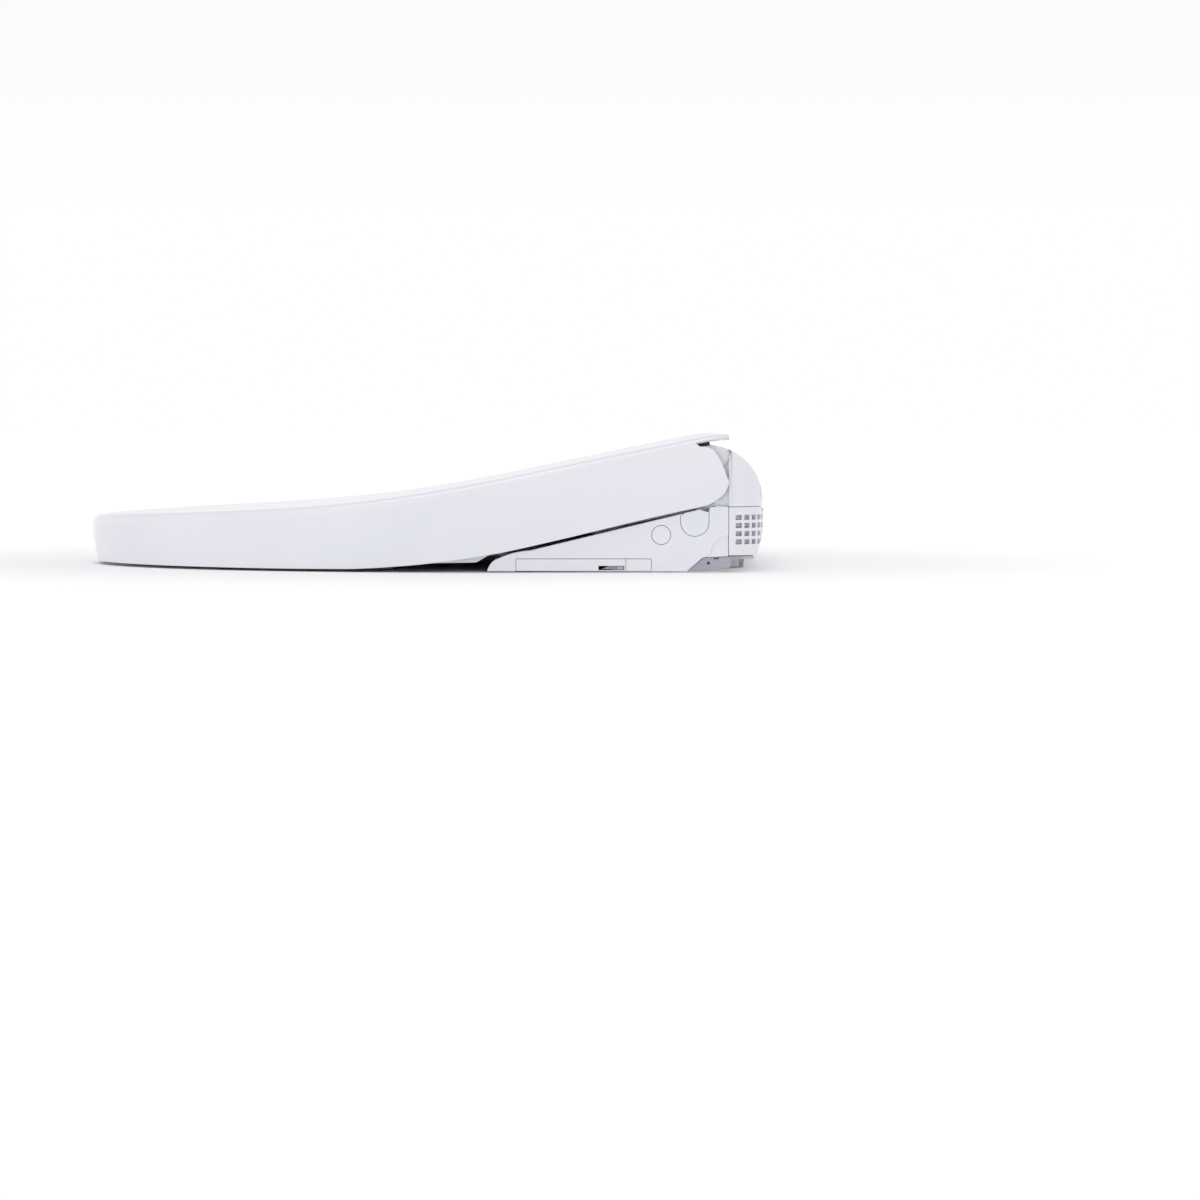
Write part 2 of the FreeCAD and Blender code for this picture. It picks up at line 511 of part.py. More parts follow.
def bottom_case():
    floor = box("case_floor", "-caseHalfWidth", "caseHalfWidth", "-coverReach + 3", 44,
                "caseFloorZ", "caseFloorZ + shellWall")
    wall = cut("case_wall",
               box("case_wall_outer", "-caseHalfWidth - 2", "caseHalfWidth + 2", "-coverReach",
                   "domeFrontY", "caseFloorZ", "coverBaseZ - seamGap"),
               box("case_wall_inner", "-caseHalfWidth + 0.5", "caseHalfWidth - 0.5",
                   "-coverReach + shellWall", 60, 0, 30))
    nose = cut("case_nose",
               box("case_nose_outer", "-noseCaseHalf", "noseCaseHalf", "-noseCaseReach",
                   "-coverReach + 4", "noseCaseZ", "noseCaseTopZ"),
               box("case_nose_inner", "-noseCaseHalf + shellWall", "noseCaseHalf - shellWall",
                   "-noseCaseReach + shellWall", "-coverReach + 10", "noseCaseZ + shellWall", 40))
    solids = [floor, wall, nose]
    for sign in (-1, 1):
        inner = [f"{sign} * (caseHalfWidth - 2)", f"{sign} * (armInnerX + 5)"][::sign]
        outer = [f"{sign} * (armInnerX + shellWall + softGap)",
                 f"{sign} * ({FACE} - shellWall - 3)"][::sign]
        solids.append(box(f"arm_bridge_{sign}", *inner, "-coverReach + 10", 20, "armFloorZ",
                          "armFloorZ + shellWall"))
        solids.append(box(f"arm_floor_{sign}", *outer, "-armReach + 9", -9, "armFloorZ",
                          "armFloorZ + shellWall"))
        web = [f"{sign} * (caseHalfWidth - 2)", f"{sign} * (caseHalfWidth + 2)"][::sign]
        solids.append(box(f"arm_web_{sign}", *web, "-coverReach + 10", 20, "armFloorZ",
                          "caseFloorZ + shellWall"))
        for label, station in (("outer", "bracketX"), ("inner", "caseHalfWidth - 2")):
            sides = [f"{sign} * ({station})", f"{sign} * ({station} + bracketWidth)"][::sign]
            upright = box(f"{label}_upright_{sign}", *sides, "hingeY - 9", "hingeY + 9",
                          "armFloorZ", "hingeZ + 8")
            solids.append(upright)
        foot = [f"{sign} * (armInnerX + 3.5)", f"{sign} * (bracketX + bracketWidth)"][::sign]
        solids.append(box(f"upright_foot_{sign}", *foot, -12, "hingeY + 9", "armFloorZ",
                          "armFloorZ + shellWall"))
        hook = [f"{sign} * (plateHalfWidth + 0.5)", f"{sign} * (plateHalfWidth + 5)"][::sign]
        lip = [f"{sign} * (plateHalfWidth - 5)", f"{sign} * (plateHalfWidth + 5)"][::sign]
        solids.append(box(f"hook_{sign}", *hook, -40, 34, 1, "caseFloorZ + 1"))
        solids.append(box(f"hook_lip_{sign}", *lip, -40, 34, 1, 3.4))
    body = fuse("case_body", *solids)
    port = cylinder("wand_port", "wandRadius + 4.5", 60, 0, "-portReach", "portZ",
                    Rotation(Vector(1, 0, 0), number("wandTilt") + 90))
    cutters = [port, box("nose_back", "-noseCaseHalf + shellWall", "noseCaseHalf - shellWall",
                         "-coverReach - 3", "-coverReach + 3", 10.5, 40),
               box("latch_opening", f"-{FACE} + shellWall", "-caseHalfWidth + 6", -38, -24, 5, 12),
               box("motor_room", 4, 29, -82, -66, 7, 12)]
    for sign in (-1, 1):
        cutters.append(cylinder(f"upright_bore_{sign}", "shaftRadius + runningGap", 60,
                                f"{sign} * (armInnerX + 11) - 30", "hingeY", "hingeZ", ALONG_X))
        for y in (-60, 10):
            cutters.append(cylinder(f"screw_hole_{sign}_{y}", 1.7, 10, f"{sign} * (caseHalfWidth - 20)",
                                    y, 2))
    node("bottom_case", cut("bottom_case_part", body, *cutters))
    node("nozzle_cover", box("nozzle_cover_part", "-noseCaseHalf", "noseCaseHalf", "-noseCaseReach",
                             "-coverReach - 7.5", "noseCaseTopZ + 0.1", "noseCaseTopZ + 2.6"))
    screws = []
    for sign in (-1, 1):
        for y in (-60, 10):
            x = f"{sign} * (caseHalfWidth - 20)"
            head = cylinder(f"screw_head_{sign}_{y}", 3.5, 2.4, x, y, "caseFloorZ - 2.45")
            stem = cylinder(f"screw_stem_{sign}_{y}", 1.5, 6, x, y, "caseFloorZ - 0.1")
            screws.append(fuse(f"screw_{sign}_{y}", head, stem))
    node("case_screws", group("case_screws_part", *screws))
    feet = [cylinder(f"foot_{sign}_{y}", 8, 2, f"{sign} * (armInnerX + 15)", y, 0)
            for sign in (-1, 1) for y in (-128, -22)]
    node("case_feet", group("case_feet_part", *feet))


# ---------------------------------------------------------------- hinge
def hinge():
    shafts = []
    for sign in (-1, 1):
        ends = [f"{sign} * (caseHalfWidth - 12)", f"{sign} * (lidHalfWidth - lidWall + 0.3)"][::sign]
        shafts.append(cylinder(f"shaft_{sign}", "shaftRadius", f"({ends[1]}) - ({ends[0]})",
                               ends[0], "hingeY", "hingeZ", ALONG_X))
    node("hinge_shafts", group("hinge_shafts_part", *shafts))
    for name, sign in (("seat_damper", 1), ("lid_damper", -1)):
        ends = [f"{sign} * (caseHalfWidth - 46)", f"{sign} * (caseHalfWidth - 2.3)"][::sign]
        body = cylinder(name + "_barrel", 11, f"({ends[1]}) - ({ends[0]})", ends[0], "hingeY",
                        "hingeZ", ALONG_X)
        middle = f"{sign} * (caseHalfWidth - 32)"
        flange = box(name + "_foot", f"{middle} - 8", f"{middle} + 8", "hingeY - 10",
                     "hingeY + 10", "caseFloorZ + shellWall + 0.05", "hingeZ - 8")
        bore = cylinder(name + "_bore", "shaftRadius + runningGap", 20,
                        f"{sign} * (caseHalfWidth - 4) - 10", "hingeY", "hingeZ", ALONG_X)
        node(name, cut(name + "_part", fuse(name + "_body", body, flange), bore))


# ---------------------------------------------------------------- nozzle
def in_nozzle(thing):
    """Lays a piece that is drawn along +Y into the tilted nozzle line."""
    thing.Placement = Placement(Vector(0, number("-portReach"), number("portZ")),
                                Rotation(Vector(1, 0, 0), number("wandTilt")))
    bind(thing, **{"Placement.Base.y": "-portReach", "Placement.Base.z": "portZ",
                   "Placement.Rotation.Angle": "wandTilt"})
    return thing


def nozzle():
    tube = cylinder("wand_blank", "wandRadius", "wandLength - 6", 0, 6.2, 0, ALONG_Y)
    node("wand_tube", in_nozzle(group("wand_tube_part", tube)))
    tip = fuse("tip_blank", cylinder("tip_disc", "wandRadius + 2", 3, 0, -4, 0, ALONG_Y),
               cylinder("tip_neck", "wandRadius", 7, 0, -1, 0, ALONG_Y))
    holes = [cylinder(f"spray_{index}", 0.8, 6, f"-2 + {index} * 4", 3, "wandRadius - 4")
             for index in range(2)]
    node("wand_tip", in_nozzle(group("wand_tip_part", cut("tip_drilled", tip, *holes))))
    bar = box("rack_blank", "wandRadius + 0.05", "wandRadius + 2.2", 20, "wandLength - 4", -2.5, 2.5)
    node("wand_rack", in_nozzle(group("wand_rack_part", bar)))
    pinion_x = "wandRadius + 2.5 + pinionRadius"
    gear = fuse("pinion_blank",
                cylinder("pinion_body", "pinionRadius", 5, pinion_x, "pinionStation", -2.5),
                cylinder("pinion_stem", 1.5, 4, pinion_x, "pinionStation", -6))
    node("drive_pinion", in_nozzle(group("drive_pinion_part", gear)))
    motor = box("motor_body", f"{pinion_x} - 7", f"{pinion_x} + 11", "pinionStation - 10",
                "pinionStation + 10", -18, -6.3)
    motor = cut("motor_cut", motor,
                cylinder("motor_bore", "1.5 + runningGap", 10, pinion_x, "pinionStation", -12))
    node("nozzle_motor", in_nozzle(group("nozzle_motor_part", motor)))
    block = box("guide_block", "-guideSize / 2 + 2", "wandRadius - 3", 10, "wandLength - 16",
                "-guideSize / 2 + 2.5", "guideSize / 2 - 2.5")
    node("nozzle_guide", in_nozzle(group("nozzle_guide_part", cut(
        "guide_cut", block,
        cylinder("guide_bore", "wandRadius + softGap", "wandLength + 20", 0, 0, 0, ALONG_Y)))))


# ---------------------------------------------------------------- water and air inside
def fan(name, radius, x, y, z, depth, turn):
    """Round housing, the holes in it and the bladed wheel, all on one axis."""
    wheel_radius = f"({radius} - shellWall - fanGap)"
    shaft = Vector(*(turn.multVec(Vector(0, 0, 1))))

    def along(step):
        return [f"({value}) + ({step}) * {part:.0f}" for value, part in zip((x, y, z), shaft)]

    can = cylinder(name + "_can", radius, depth, x, y, z, turn)
    room = cylinder(name + "_room", f"{radius} - shellWall", f"{depth} - 4", *along(2), turn)
    eye = cylinder(name + "_eye", f"{wheel_radius} * 0.6", 6, *along(f"{depth} - 3"), turn)
    bore = cylinder(name + "_bore", 2.1, 6, *along(-1), turn)
    hub = cylinder(name + "_hub", 6, f"{depth} - 8", *along(4), turn)
    plate = cylinder(name + "_plate", wheel_radius, 1.2, *along(4), turn)
    stem = cylinder(name + "_stem", 2, 6, *along(-1.5), turn)
    blades = []
    for index in range(int(number("fanBlades"))):
        blade = box(f"{name}_blade_{index}", 0, 1, 0, 1, 0, 1)
        bind(blade, Length=f"{wheel_radius} - 12", Width="1", Height=f"{depth} - 9")
        spin = turn.multiply(Rotation(Vector(0, 0, 1), index * 360 / number("fanBlades")))
        start = spin.multVec(Vector(12, -0.5, 0))
        place(blade, *[f"{text} + ({offset:.4f})" for text, offset in zip(along(4.5), start)], spin)
        blades.append(blade)
    wheel = fuse(name + "_wheel_part", hub, plate, stem, *blades)
    return can, [room, eye, bore], wheel


def water_and_air():
    can, holes, wheel = fan("dryer", "dryerRadius", -80, -26, 42, 24, ALONG_X)
    duct = box("dryer_duct", -80, -56, "-coverReach + 4.3", -34, 17, 30)
    throat = box("dryer_throat", -78, -58, "-coverReach + 3", -34, 19, 28)
    foot = box("dryer_foot", -80, -56, -40, -12, "caseFloorZ + shellWall + 0.05", 20)
    body = cut("dryer_body", fuse("dryer_outer", can, duct, foot), *holes, throat)
    node("dryer_housing", body)
    node("dryer_wheel", wheel)
    node("dryer_motor", cut("dryer_motor_part",
                            cylinder("dryer_motor_can", 12, 14, -94.1, -26, 42, ALONG_X),
                            cylinder("dryer_motor_bore", "2 + runningGap", 8, -87, -26, 42, ALONG_X)))
    can, holes, wheel = fan("deodor", "deodorRadius", "deodoriserX", -34, 24, 22, ALONG_Z)
    duct = box("deodor_duct", "deodoriserX + 20", "deodoriserX + 39", -50, -30, 26, 42)
    throat = box("deodor_throat", "deodoriserX + 16", "deodoriserX + 40", -48, -32, 28, 40)
    node("deodoriser_housing", cut("deodor_body", fuse("deodor_outer", can, duct), *holes, throat))
    node("deodoriser_wheel", wheel)
    node("deodoriser_motor", cut("deodor_motor_part",
                                 cylinder("deodor_motor_can", 12, "23.8 - caseFloorZ - shellWall", "deodoriserX", -34,
                   "caseFloorZ + shellWall + 0.1"),
                                 cylinder("deodor_motor_bore", "2 + runningGap", 8, "deodoriserX", -34, 18)))
    hinge_z = 27.6
    flap = fuse("flap_blank", box("flap_plate", -79.6, -56.4, "-coverReach - 1.9", "-coverReach - 0.4",
                                  17.3, hinge_z),
                cylinder("flap_barrel", 1.4, 23.2, -79.6, "-coverReach - 1.8", hinge_z, ALONG_X))
    node("dryer_flap", cut("dryer_flap_part", flap, cylinder(
        "flap_bore", "0.7 + runningGap", 30, -82, "-coverReach - 1.8", hinge_z, ALONG_X)))
    ears = [box(f"flap_ear_{x}", x, x + 2, "-coverReach - 3.2", "-coverReach - 0.05", hinge_z - 1.4,
                hinge_z + 1.4) for x in (-82, -56)]
    pin = cylinder("flap_pin_rod", 0.7, 25.8, -81, "-coverReach - 1.8", hinge_z, ALONG_X)
    node("flap_hinge", fuse("flap_hinge_part", pin, *ears))
    heater = box("heater_body", 30, 100, 8, 42, "caseFloorZ + shellWall + 0.05", 46)
    ports = [cylinder(f"heater_port_{x}", 4, 8, x, 25, 46) for x in (45, 85)]
    node("water_heater", fuse("water_heater_part", heater, *ports))
    valve = box("valve_body", -100, -60, 8, 40, "caseFloorZ + shellWall + 0.05", 40)
    coil = cylinder("valve_coil", 9, 10, -80, 24, 40)
    node("valve_block", fuse("valve_block_part", valve, coil))
    inlet = box("inlet_body", "-inletX - 13", "-inletX + 19", 26.5, 39.4, 15.5, 38)
    node("inlet_block", fuse("inlet_block_part", inlet,
                             box("inlet_link", "-inletX + 18", -100.1, 30, 38, 20, 32)))
    nipple = cylinder("nipple_stem", 10.48, 14, "-inletX", 33, 1.4)
    node("inlet_nipple", cut("inlet_nipple_part", nipple,
                             cylinder("nipple_bore", 6, 12, "-inletX", 33, 0)))
    node("inlet_filter", cylinder("inlet_filter_part", 5.6, 9, "-inletX", 33, 2.2))
    gland = fuse("gland_body", cylinder("gland_barrel", 6, 10, "-glandX", "rearY - 9.8", 27, ALONG_Y),
                 cylinder("gland_flange", 8.5, 2, "-glandX", "rearY - 4.9 - shellWall", 27, ALONG_Y))
    node("cord_gland", cut("cord_gland_part", gland,
                           cylinder("gland_bore", 3.8, 20, "-glandX", "rearY - 15", 27, ALONG_Y)))


def boards():
    board = box("control_pcb", -95, 95, 16, 43, 58, 59.6)
    chips = [box(f"chip_{x}", x, x + 14, 22, 34, 59.65, 62) for x in (-70, -30, 10, 50)]
    node("control_board", fuse("control_board_part", board, *[
        box(f"chip_foot_{x}", x + 2, x + 12, 24, 32, 59, 61.5) for x in (-70, -30, 10, 50)], *chips))
    posts = [cylinder(f"post_{x}", 3, "58 - 46 - 0.1", x, 25, 46.05) for x in (35, 95)]
    tall = [cylinder(f"tall_post_{x}", 3, "58 - caseFloorZ - shellWall - 0.1", x, 25,
                     "caseFloorZ + shellWall + 0.05") for x in (-50, 10)]
    node("board_posts", group("board_posts_part", posts[0], posts[1], *tall))
    edge = "-caseHalfWidth + 4"
    under = "caseFloorZ + shellWall + 0.05"
    power = box("power_pcb", edge, edge + " + 46", -68, -12, 16, 17.6)
    transformer = box("transformer", edge + " + 6", edge + " + 32", -60, -34, 17, 42)
    stands = [box("power_stand_front", edge, edge + " + 6", -68, -60, under, 16.5),
              box("power_stand_rear", edge + " + 40", edge + " + 46", -20, -12, under, 16.5)]
    node("power_board", fuse("power_board_part", power, transformer, *stands))


# ---------------------------------------------------------------- seat
def seat_outline(drop, rise):
    """Side outline of the ring: top lowered by drop, underside raised by rise."""
    return [
        ("-noseReach", f"seatRimZ + ({rise})"),
        ("-armReach - 8", f"seatRimZ + ({rise})"),
        ("-armReach + 4", f"14 + ({rise})"),
        ("-armBendReach", arm_line("armBendReach", f"-2.6 - ({rise})")),
        ("0", arm_line("0", f"-2.6 - ({rise})")),
        ("0", f"seatRearZ + 20 * tan(lidSlope) - ({drop})"),
        ("-seatRearReach - 20", f"seatRearZ - ({drop})", -900),
        ("-300", f"seatMidZ - 2 - ({drop})", -1500),
        ("-noseReach + 18", f"seatFrontZ - ({drop})", 14),
        ("-noseReach", f"seatFrontZ - 8 - ({drop})"),
    ]


def seat_band(name, drop, rise, inset, opening_grow, rear):
    """Ring with its walls set in by inset and its opening grown."""
    body = common(name + "_solid",
                  slab(name + "_side", seat_outline(drop, rise), "-lidHalfWidth", "lidHalfWidth"),
                  egg(name + "_plan", f"lidWall + seatInset + ({inset})", 0, 110,
                      f"-seatRearReach - ({rear})"))
    hole = oval(name + "_hole", f"openHalfWidth + ({opening_grow})",
                f"openHalfLength + ({opening_grow})", "openReach", -1, 111)
    return cut(name, body, hole)


def seat():
    outer = seat_band("seat_outer", 0, 0, 0, 0, 0)
    room = seat_band("seat_room", "seatWall", -30, "seatWall", "seatWall", "seatWall")
    relief = box("nozzle_relief", "-reliefHalfWidth", "reliefHalfWidth", RELIEF_FRONT, 0, 0,
                 "reliefZ")
    relief_skin = box("nozzle_relief_skin", "-reliefHalfWidth - seatWall",
                      "reliefHalfWidth + seatWall", RELIEF_FRONT, "-seatRearReach - seatWall",
                      "reliefZ - 40", "reliefZ + seatWall")
    skin = cut("seat_skin", outer, cut("seat_hollow", room, relief_skin))
    arms = []
    for sign in (-1, 1):
        ends = [f"{sign} * seatArmX", f"{sign} * (seatArmX + seatArmWidth)"][::sign]
        bar = slab(f"seat_arm_{sign}", [
            ("-seatRearReach - 2", arm_line("seatRearReach + 2", -3)),
            ("hingeY - seatEyeRadius - 6", "hingeZ - seatEyeRadius + 1"),
            ("hingeY", "hingeZ - seatEyeRadius + 1"), ("hingeY", "hingeZ + seatEyeRadius - 2"),
            ("-seatRearReach - 2", "hingeZ + seatEyeRadius - 1")], *ends)
        eye = cylinder(f"seat_eye_{sign}", "seatEyeRadius", "seatArmWidth", ends[0], "hingeY", "hingeZ",
                       ALONG_X)
        arms += [bar, eye]
    bores = [cylinder(f"seat_bore_{sign}", "shaftRadius + runningGap", "seatArmWidth + 4",
                      f"{sign} * (seatArmX + seatArmWidth / 2) - seatArmWidth / 2 - 2", "hingeY", "hingeZ",
                      ALONG_X) for sign in (-1, 1)]
    node("seat_upper", cut("seat_upper_part", fuse("seat_whole", skin, *arms), relief, *bores))
    plate = cut("seat_plate",
                seat_band("seat_plate_blank", 0, 0, "seatWall + seamGap", "seatWall + seamGap",
                          "seatWall + seamGap"),
                seat_band("seat_plate_room", -40, 2.4, "-5", "-5", "-5"),
                box("plate_relief", "-reliefHalfWidth - seatWall - seamGap",
                    "reliefHalfWidth + seatWall + seamGap", RELIEF_FRONT, 0, 0, 110))
    node("seat_lower", plate)
    foil = cut("foil_blank",
               seat_band("foil_outer", "seatWall + 0.3", 0, "seatWall + 4", "seatWall + 4",
                         "seatWall + 4"),
               seat_band("foil_room", "seatWall + 1.3", -40, -5, -5, -5),
               box("foil_relief", "-reliefHalfWidth - 6", "reliefHalfWidth + 6", RELIEF_FRONT, 0, 0,
                   "reliefZ + 6"))
    node("seat_heater", foil)
    pads = [cylinder("seat_pad", 8, "seatRimZ - 0.35", x, y, 0.3)
            for x, y in PAD_PLACES]
    node("seat_bumpers", group("seat_bumpers_part", *pads))


# ---------------------------------------------------------------- lid
def lid_outline():
    edge_line = "armBendZ + 2 + (armBendReach - {}) * tan(armSlope)"
    return [
        ("-noseReach + 4", "lidEdgeZ"),
        ("-armBendReach - 127", "lidEdgeZ", 458),
        ("-armBendReach - 22", "lidEdgeZ + 12.2"),
        ("2.4", "hingeZ - 4.2"),
        ("10.5", "hingeZ - 1.6", 14),
        ("22.3", "hingeZ + 10.3"),
        ("23.4", "hingeZ + 15.5", 80),
        ("17", "hingeZ + 33"),
        ("11", "hingeZ + 41"),
        ("10", "hingeZ + lidRise - 2.8"),
        ("lidLipY", "lidLipZ - 2.4"),
        ("lidLipY", "lidLipZ", 60),
        ("-4", "hingeZ + lidRise - (hingeY + 4) * tan(lidSlope) + 0.4"),
        ("-lidBendReach", LID_TOP, -1237),
        ("-lidMidReach", "lidMidZ", -2906),
        ("-lidFrontReach", "lidFrontZ", 30),
        ("-noseReach + 5.5", "lidFrontZ - 1.8", "lidNoseRadius"),
        ("-noseReach", "lidFrontZ - 7"),
    ]


def lid_room():
    return [
        ("-noseReach - 5", -30), ("60", -30), ("60", "lidLipZ - lidWall"),
        ("lidLipY", "lidLipZ - lidWall"),
        ("-4", "hingeZ + lidRise - (hingeY + 4) * tan(lidSlope) - lidWall"),
        ("-lidBendReach", LID_TOP + " - lidWall", -1237),
        ("-lidMidReach", "lidMidZ - lidWall", -2906),
        ("-lidFrontReach", "lidFrontZ - lidWall"),
        ("-noseReach - 5", "lidFrontZ - lidWall - 2"),
    ]


def lid():
    outer = common("lid_outer", slab("lid_side", lid_outline(), "-lidHalfWidth", "lidHalfWidth"),
                   egg("lid_plan", 0, -5, 115, 40))
    room = common("lid_inner", slab("lid_room", lid_room(), "-lidHalfWidth", "lidHalfWidth"),
                  egg("lid_room_plan", "lidWall", -40, 115, 70))
    bosses, bores = [], []
    for sign in (-1, 1):
        ends = [f"{sign} * (lidHalfWidth - lidWall - lidBossLength)",
                f"{sign} * (lidHalfWidth - lidWall + 1)"][::sign]
        bosses.append(cylinder(f"lid_boss_{sign}", "lidBossRadius", "lidBossLength + 1", ends[0],
                               "hingeY", "hingeZ", ALONG_X))
        start = [f"{sign} * (lidHalfWidth - lidWall - lidBossLength - 1)",
                 f"{sign} * (lidHalfWidth - lidWall + 0.8)"][::sign][0]
        bores.append(cylinder(f"lid_bore_{sign}", "shaftRadius + runningGap", "lidBossLength + 1.8",
                              start, "hingeY", "hingeZ", ALONG_X))
    node("lid_shell", cut("lid_shell_part", fuse("lid_body", cut("lid_hollow", outer, room), *bosses),
                          *bores))
    front_pad_z = ("seatMidZ - 2 - (seatMidZ - 2 - seatFrontZ) * (noseReach - 348) "
                   "/ (noseReach - 318) + padGap")
    pads = [cylinder("lid_pad", 6, depth, f"{sign} * ({x})", y, z)
            for x, y, z, depth in ((60, "-noseReach + 48", front_pad_z, 4.2),
                                   ("lidHalfWidth - 43", -205, 45, 9)) for sign in (-1, 1)]
    node("lid_bumpers", group("lid_bumpers_part", *pads))


# ---------------------------------------------------------------- controls and drawer
def controls():
    face = FACE
    door = cut("door_part",
               box("door_blank", f"{face} - shellWall", face, "-doorReach",
                   "-doorReach + doorLength", 0.8, "doorTopZ"),
               box("latch_slot", f"{face} - 4", f"{face} + 1", "-doorReach + doorLength - latchSlot",
                   "-doorReach + doorLength - 1", 1.4, 4.6))
    tray = ["-doorReach + 5.4", "-doorReach + 67.4"]
    node("filter_drawer", fuse("filter_drawer_part", door,
                               box("tray_floor", "trayX", f"{face} - shellWall + 0.5", *tray, "trayZ", "trayZ + 1"),
                               box("tray_back", "trayX", "trayX + 2", *tray, "trayZ + 0.6", 9),
                               box("tray_left", "trayX + 1", f"{face} - 1", tray[0], tray[0] + " + 2",
                                   "trayZ + 0.6", 9),
                               box("tray_right", "trayX + 1", f"{face} - 1", tray[1] + " - 2", tray[1],
                                   "trayZ + 0.6", 9)))
    node("filter_media", box("filter_media_part", "trayX + 2.3", f"{face} - shellWall - 0.3",
                             tray[0] + " + 2.3", tray[1] + " - 2.3", "trayZ + 1.05", 8.6))
    key = ["-doorReach + doorLength - 6.3", "-doorReach + doorLength - 1.6"]
    node("drawer_latch", fuse("latch_part",
                              box("latch_key", f"{face} - 2.2", f"{face} - 0.4", *key, 1.7, 4.3),
                              box("latch_body", f"{face} - 4.6", f"{face} - shellWall - 0.1",
                                  key[0] + " - 3.1", key[1], 1.2, 4.7),
                              box("latch_web", f"{face} - shellWall - 0.5", f"{face} - 2", *key, 1.7, 4.3)))
    for index, name in enumerate(("button_stop", "button_rear_wash", "button_front_wash")):
        y = f"-buttonReach + {index} * buttonPitch"
        knob = fuse(name + "_blank",
                    cylinder(name + "_cap", "buttonRadius", "shellWall + 0.8",
                             f"-{face} - 0.8", y, "buttonZ", ALONG_X),
                    cylinder(name + "_collar", "buttonRadius + 1.3", 1.2,
                             f"-{face} + shellWall + 0.1", y, "buttonZ", ALONG_X))
        knob = fuse(name + "_body", knob,
                    cylinder(name + "_stem", 2, 3, f"-{face} + shellWall - 0.5", y, "buttonZ", ALONG_X))
        node(name, knob)
    node("button_board", box("button_board_part", f"-{face} + 9", f"-{face} + 10.6",
                             "-buttonReach - 8", "-buttonReach + buttonPitch * 2 + 8",
                             "armFloorZ + shellWall + 0.05", 18))
    node("release_button", fuse("release_blank",
                                box("release_key", f"-{face} - 0.9", f"-{face} + 5.2", -40, -22, 5, 9.2),
                                box("release_bar", f"-{face} + 4.8", "-caseHalfWidth", -36, -26, 5.4, 7.6)))


mounting_kit()
top_cover()
rear_panel()
side_panels()
bottom_case()
hinge()
nozzle()
water_and_air()
boards()
seat()
lid()
controls()
doc.recompute()

# ---------------------------------------------------------------- checks and files
for thing in doc.Objects:
    if "Invalid" in thing.State or "Error" in thing.State:
        raise RuntimeError(f"{thing.Name} failed: {thing.State}")
os.makedirs("parts", exist_ok=True)
for thing in nodes:
    shape = thing.Shape
    if shape.isNull() or not shape.isValid():
        raise RuntimeError(f"{thing.Label} has no valid shape")
    shape.exportStep(f"parts/{thing.Label}.step")
    print(f"{thing.Label}: {len(shape.Solids)} solids, {shape.Volume / 1000:.1f} cm3")
print(len(nodes), "nodes")
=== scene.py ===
import json
from math import atan2, cos, hypot, pi, radians, sin, sqrt

import bmesh
import bpy
from mathutils import Matrix, Vector


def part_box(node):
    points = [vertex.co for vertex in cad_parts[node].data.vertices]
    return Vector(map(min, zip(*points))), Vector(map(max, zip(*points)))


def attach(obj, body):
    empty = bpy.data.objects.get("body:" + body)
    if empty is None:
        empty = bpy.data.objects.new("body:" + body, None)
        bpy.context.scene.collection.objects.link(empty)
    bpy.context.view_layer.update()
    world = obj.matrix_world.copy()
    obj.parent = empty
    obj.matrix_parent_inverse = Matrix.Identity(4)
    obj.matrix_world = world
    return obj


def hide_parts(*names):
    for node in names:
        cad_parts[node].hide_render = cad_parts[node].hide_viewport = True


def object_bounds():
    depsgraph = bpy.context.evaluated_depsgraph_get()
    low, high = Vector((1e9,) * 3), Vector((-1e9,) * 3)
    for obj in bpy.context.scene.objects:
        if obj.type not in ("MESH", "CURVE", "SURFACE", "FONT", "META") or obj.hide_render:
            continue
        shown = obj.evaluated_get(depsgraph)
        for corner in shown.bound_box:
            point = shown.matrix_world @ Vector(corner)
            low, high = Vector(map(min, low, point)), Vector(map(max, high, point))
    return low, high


# Electric bidet seat. The bodies come from the frame in metres; the shaping below is done in
# millimetres, and each mesh is brought to metres when it is finished.

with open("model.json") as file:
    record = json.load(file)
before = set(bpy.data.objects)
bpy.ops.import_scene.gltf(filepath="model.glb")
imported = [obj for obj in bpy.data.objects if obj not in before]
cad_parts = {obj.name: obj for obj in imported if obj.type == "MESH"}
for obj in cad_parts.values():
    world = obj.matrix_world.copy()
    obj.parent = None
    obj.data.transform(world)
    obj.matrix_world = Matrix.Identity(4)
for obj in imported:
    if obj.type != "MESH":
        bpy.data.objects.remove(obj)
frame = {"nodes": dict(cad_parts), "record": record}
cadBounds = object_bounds()

mm = 0.001
scene = bpy.context.scene


def nodeBox(name):
    # lowest and highest corner of a node, in millimetres
    return [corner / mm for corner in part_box(name)]


# materials, each named for what the real one is and how it is made

def toLinear(hexColour):
    channels = [int(hexColour[i:i + 2], 16) / 255 for i in (1, 3, 5)]
    return [c / 12.92 if c <= 0.04045 else ((c + 0.055) / 1.055) ** 2.4 for c in channels] + [1]


def addNode(tree, kind, links=None, **settings):
    node = tree.nodes.new(kind)
    for name, value in settings.items():
        setattr(node, name, value)
    for name, value in (links or {}).items():
        if isinstance(value, bpy.types.NodeSocket):
            tree.links.new(value, node.inputs[name])
        else:
            node.inputs[name].default_value = value
    return node


def startMaterial(name):
    material = bpy.data.materials.new(name)
    material.use_nodes = True
    tree = material.node_tree
    shader = tree.nodes["Principled BSDF"]
    place = addNode(tree, "ShaderNodeTexCoord").outputs["Object"]
    return material, tree, shader, place


